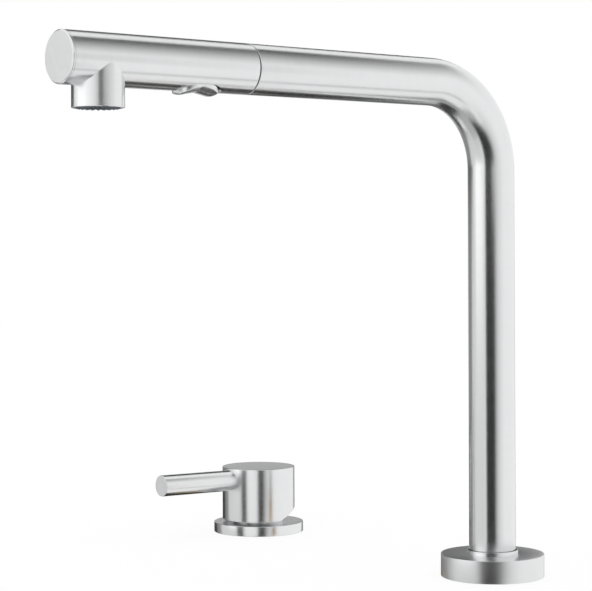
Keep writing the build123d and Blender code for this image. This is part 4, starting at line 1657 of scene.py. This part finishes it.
class TAP_OT_threads(bpy.types.Operator):
    """Cuts the threads of both shanks and the hose's fitting, and turns off the nuts' corners"""

    bl_idname = "tap.threads"
    bl_label = "Threads and nuts"

    def execute(self, context):
        threads = context.scene.tap_threads
        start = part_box("spout_shank")[0].z - threads.pitch
        tool = thread_tool(threads.shank_radius, threads.depth, threads.pitch, start, threads.shank_top)
        for name, node, foot, slot in (
            ("threaded_spout_shank", "spout_shank", SPOUT_FOOT, "brass"),
            ("threaded_mixer_body", "mixer_body", MIXER_FOOT, "brushed_steel"),
        ):
            shank = copy_solid(name, node)
            groove = add_object("groove_copy", tool.data.copy())
            groove.data.transform(Matrix.Translation(foot))
            cut_away(shank, groove)
            smooth(shank)
            dress(shank, "base", slot, [node], slot_finish(slot))
        bpy.data.objects.remove(tool)

        fitting_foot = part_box("hose_end_fitting")[0].z
        start, top = fitting_foot - threads.hose_pitch, fitting_foot + threads.hose_length
        fitting = copy_solid("threaded_hose_end", "hose_end_fitting")
        depth = threads.depth * threads.hose_pitch / threads.pitch
        cut_away(fitting, thread_tool(threads.hose_radius, depth, threads.hose_pitch, start, top))
        smooth(fitting)
        dress(fitting, "spout", "plain_steel", ["hose_end_fitting"], slot_finish("plain_steel"))

        for node, foot in (("spout_fixing_nut", SPOUT_FOOT), ("mixer_fixing_nut", MIXER_FOOT)):
            nut = copy_solid("chamfered_" + node, node)
            combine(nut, nut_blank(node, foot, threads.nut_chamfer), "INTERSECT")
            smooth(nut, radians(25))
            dress(nut, "base", "brass", [node], slot_finish("brass"))
        return {"FINISHED"}


def nut_blank(node, foot, chamfer):
    """The turned blank inside which a nut with chamfered corners lies."""
    low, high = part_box(node)
    corner = max(high.x - foot.x, high.y - foot.y)
    slope = chamfer * sin(radians(30))
    outline = [
        (low.z, corner - chamfer),
        (low.z + slope, corner),
        (high.z - slope, corner),
        (high.z, corner - chamfer),
    ]
    return turned("nut_blank", foot, UP, outline, spout_sides())


class TAP_OT_inner_parts(bpy.types.Operator):
    """Gives every solid that stays as packed the finish of its material slot"""

    bl_idname = "tap.inner_parts"
    bl_label = "Inner parts"

    def execute(self, context):
        for part in frame["record"]["subparts"]:
            solid = frame["nodes"][part["node"]]
            for place in solid.material_slots:
                place.material = slot_finish(part["material_slot"])
        return {"FINISHED"}


class TAP_OT_stage(bpy.types.Operator):
    """Sets up the worktop, the soft light with its dark cards, and the camera"""

    bl_idname = "tap.stage"
    bl_label = "Stage"

    def execute(self, context):
        studio = context.scene.tap_studio
        set_camera(studio)
        set_world()
        lay_worktop(studio)
        hang_cards()
        screen_fixings()
        return {"FINISHED"}


def set_camera(studio):
    """Stands the camera where the photograph was taken from."""
    data = bpy.data.cameras.new("camera")
    data.sensor_width = 36
    data.lens = studio.lens
    data.shift_y = studio.frame_shift
    data.clip_start = 0.01
    camera = bpy.data.objects.new("camera", data)
    bpy.context.scene.collection.objects.link(camera)
    turn = Matrix.Rotation(studio.camera_turn, 4, "Z")
    pitch = Matrix.Rotation(pi / 2 + studio.camera_pitch, 4, "X")
    roll = Matrix.Rotation(studio.camera_roll, 4, "Z")
    camera.matrix_world = Matrix.Translation(studio.camera_place) @ turn @ pitch @ roll
    bpy.context.scene.camera = camera


def seen_from(place, angle, distance):
    """The (x, y) point in a direction, in degrees from +X, from a place on the worktop."""
    return (place.x + distance * cos(radians(angle)), place.y + distance * sin(radians(angle)))


def bare_material(name):
    """A new material with no shader in it, its recipe, and the socket that takes its surface."""
    material = bpy.data.materials.new(name)
    material.use_nodes = True
    nodes = material.node_tree.nodes
    nodes.remove(nodes["Principled BSDF"])
    return material, Recipe(material.node_tree), nodes["Material Output"].inputs["Surface"]


def card_tone(name, tones, power):
    """The tones of a card's four corners, blended across it: softly, or by a power of the way along."""
    material, recipe, surface = bare_material(name)
    glow = recipe.add("ShaderNodeEmission")
    place = recipe.add("ShaderNodeUVMap", uv_map="UVMap")
    parts = recipe.add("ShaderNodeSeparateXYZ")
    recipe.link(place.outputs[0], parts.inputs[0])
    if power:
        along = recipe.maths("POWER", parts.outputs["X"], power)
    else:
        ramp = recipe.add("ShaderNodeMapRange", interpolation_type="SMOOTHSTEP")
        recipe.link(parts.outputs["X"], ramp.inputs["Value"])
        along = ramp.outputs[0]
    first, second, third, fourth = (grey(tone) for tone in tones)
    near = recipe.mix(along, first, second)
    far = recipe.mix(along, third, fourth)
    recipe.link(recipe.mix(parts.outputs["Y"], near, far), glow.inputs["Color"])
    recipe.link(glow.outputs[0], surface)
    return material


def hang_card(name, corners, tones, power=0):
    """Hangs a card between four corners that only reflections see, as a photographer's black card is."""
    deselect_all()
    bpy.ops.mesh.primitive_plane_add(size=1)
    card = bpy.context.object
    card.name = card.data.name = name
    for vertex, place in zip(card.data.vertices, corners):
        vertex.co = place
    card.data.materials.append(card_tone(name, tones, power))
    for sight in ("camera", "diffuse", "transmission", "volume_scatter", "shadow"):
        setattr(card, "visible_" + sight, False)


def upright_card(name, first, second, heights, tones, power=0):
    """An upright card between two (x, y) points, from one height to another."""
    corners = [Vector((*place, height)) for height in heights for place in (first, second)]
    hang_card(name, corners, tones * 4 if len(tones) == 1 else tones * 2, power)


def seen_along(turn, distance):
    """A point beside the arm's line, at an angle in degrees above the level and a distance from the line."""
    return ARM_LINE + Vector((distance * cos(radians(turn)), 0, distance * sin(radians(turn))))


def level_card(name, places, tone):
    """A level card far below the worktop, with its corners under four (x, y) points."""
    depth = -0.5
    hang_card(name, [Vector((*place, depth)) for place in places], (tone,) * 4)


def hang_cards():
    """The cards and the soft box, each placed by what the photograph shows in the steel that faces it."""
    low, high = (-0.5, 0.225), (0.2, 0.36)
    upright_card("camera_side_card", (0.077, -0.233), (0.59, -0.326), low, (0.03,))
    upright_card("camera_side_wing", (0.59, -0.326), (1.28, -0.3), low, (0.1, 0.7), 0.55)
    upright_card("far_side_wing", (1.28, -0.3), (1.35, 0.5), (-0.8, 0.225), (0.7, 1.0), 0.7)
    upright_card("high_side_card", (0.09, -0.282), (0.413, -0.399), high, (0.04,))

    around = (ARM_HEIGHT - 0.06, ARM_HEIGHT + 0.08)
    core_left, core_right = (seen_from(NOZZLE_LINE, angle, 0.35) for angle in (-29, -12))
    left_end, right_end = seen_from(NOZZLE_LINE, -84, 0.4), seen_from(NOZZLE_LINE, 50, 0.45)
    upright_card("nozzle_card", core_left, core_right, around, (0.02,))
    upright_card("nozzle_left_wing", core_left, left_end, around, (0.2, 1.25), 0.42)
    upright_card("nozzle_right_wing", core_right, right_end, around, (0.1, 1.0), 0.42)
    left_end, right_end = (seen_from(MIXER_FOOT, angle, 0.14) for angle in (-89, -73))
    upright_card("mixer_card", left_end, right_end, (-0.1, 0.06), (0.06,))
    upright_card("mixer_back_card", (-0.4, -0.05), (-0.4, 0.15), (-0.1, 0.022), (0.05,))

    back = -0.8
    for name, start, end, heights, tone in (
        ("low_back_card", -0.356, 0.25, (-0.55, 0.22), 0.28),
        ("middle_back_card", 0.25, 0.57, (-0.12, 0.3), 0.6),
        ("middle_low_card", 0.25, 0.57, (-0.55, -0.12), 0.05),
        ("high_back_card", -0.59, 0.25, (0.22, 0.83), 0.08),
        ("far_back_card", 0.25, 0.92, (0.3, 1.25), 0.03),
        ("right_back_card", 0.57, 1.6, (-0.55, 0.3), 0.2),
    ):
        upright_card(name, (back, start), (back, end), heights, (tone,))

    upright_card("soft_box", (-1.22, -1.69), (0.17, -2.18), (-0.04, 1.5), (1.3,))
    upright_card("disc_card", (-1.9, -1.15), (-1.12, -1.95), (0.25, 1.2), (0.9, 1.15), 1)
    upright_card("side_wall", (-3.4, -0.9), (0.1, -3.4), (-3.0, 2.5), (0.76,))
    upright_card("front_wall", (0.1, -3.4), (1.3, -3.6), (-3.0, 2.5), (0.76, 1.0), 1)

    over = [seen_along(turn, 0.476) for turn in (93, 8)]
    for name, start, end, tones in (
        ("arm_card", -0.3, 0.1, (0.02, 1.0, 0.02, 1.0)),
        ("arm_far_card", 0.1, 0.45, (0.02, 1.0, 0.45, 1.0)),
    ):
        hang_card(name, [place + BACK * y for y in (start, end) for place in over], tones)

    level_card("under_card", ((-1.0, 0.05), (0.0, 0.05), (-1.0, 0.75), (-0.4, 0.75)), 0.03)
    level_card("bend_card", ((-0.4, -0.75), (0.52, -0.75), (-0.4, 0.05), (0.52, 0.05)), 0.52)
    level_card("under_strip", ((0.45, 0.2), (0.6, 0.2), (0.45, 0.95), (0.6, 0.95)), 0.55)


def set_world():
    """White all round, at the strength at which a colour renders as written."""
    scene = bpy.context.scene
    scene.view_settings.view_transform = "Standard"
    world = bpy.data.worlds.new("studio")
    world.use_nodes = True
    background = world.node_tree.nodes["Background"]
    background.inputs["Color"].default_value = grey(1)
    background.inputs["Strength"].default_value = 1.0
    scene.world = world


def lay_worktop(studio):
    """A pale worktop, seen from above only; reflections pass through it to the cards."""
    deselect_all()
    bpy.ops.mesh.primitive_plane_add(size=studio.worktop_size, location=(0, 0, 0))
    worktop = bpy.context.object
    worktop.name = worktop.data.name = "worktop"
    material, recipe, surface = bare_material("pale_worktop")
    matt = recipe.add("ShaderNodeBsdfDiffuse")
    matt.inputs["Color"].default_value = grey(1)
    white = recipe.add("ShaderNodeEmission")
    white.inputs["Color"].default_value = grey(1)
    clear = recipe.add("ShaderNodeBsdfTransparent")
    path = recipe.add("ShaderNodeLightPath")
    shape = recipe.add("ShaderNodeNewGeometry")
    lit = recipe.add("ShaderNodeMixShader")
    seen = recipe.maths("MAXIMUM", path.outputs["Is Camera Ray"], path.outputs["Is Glossy Ray"])
    seen = recipe.maths("MAXIMUM", seen, path.outputs["Is Transmission Ray"])
    recipe.link(recipe.maths("MULTIPLY", seen, 1 - studio.worktop_shadow), lit.inputs["Fac"])
    recipe.link(matt.outputs[0], lit.inputs[1])
    recipe.link(white.outputs[0], lit.inputs[2])
    one_sided = recipe.add("ShaderNodeMixShader")
    recipe.link(shape.outputs["Backfacing"], one_sided.inputs["Fac"])
    recipe.link(lit.outputs[0], one_sided.inputs[1])
    recipe.link(clear.outputs[0], one_sided.inputs[2])
    recipe.link(one_sided.outputs[0], surface)
    worktop.data.materials.append(material)
    worktop.visible_glossy = False


def screen_fixings():
    """Keeps the fixings out of the steel's reflections, which pass through the worktop to the cards."""
    lowest_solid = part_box("hose_end_fitting")[0].z - MILLIMETRE
    reach_below, rise_above = -0.03, 0.02
    for piece in bpy.context.scene.objects:
        if piece.type == "MESH":
            heights = [(piece.matrix_world @ vertex.co).z for vertex in piece.data.vertices]
            if heights and lowest_solid < min(heights) < reach_below and max(heights) < rise_above:
                piece.visible_glossy = False


class TAP_PT_sidebar(bpy.types.Panel):
    """Lists the tap's pieces in the order that they are made"""

    bl_idname = "TAP_PT_sidebar"
    bl_label = "Kitchen tap"
    bl_space_type = "VIEW_3D"
    bl_region_type = "UI"
    bl_category = "Tap"

    def draw(self, context):
        for operator in OPERATORS:
            self.layout.operator(operator.bl_idname)
        for name, group in SETTINGS.items():
            box = self.layout.box()
            box.label(text=group.__doc__)
            for key in group.__annotations__:
                box.prop(getattr(context.scene, name), key)


OPERATORS = [
    TAP_OT_stage,
    TAP_OT_spout_tube,
    TAP_OT_rosettes,
    TAP_OT_handset,
    TAP_OT_rocker,
    TAP_OT_mixer,
    TAP_OT_spray_face,
    TAP_OT_hose,
    TAP_OT_threads,
    TAP_OT_inner_parts,
]


def register():
    for item in (*SETTINGS.values(), *OPERATORS, TAP_PT_sidebar):
        bpy.utils.register_class(item)
    for name, group in SETTINGS.items():
        setattr(bpy.types.Scene, name, bpy.props.PointerProperty(type=group))


def unregister():
    for name in SETTINGS:
        delattr(bpy.types.Scene, name)
    for item in (TAP_PT_sidebar, *reversed(OPERATORS), *SETTINGS.values()):
        bpy.utils.unregister_class(item)


def main():
    register()
    for operator in OPERATORS:
        group, action = operator.bl_idname.split(".")
        getattr(getattr(bpy.ops, group), action)()


if __name__ == "__main__":
    main()
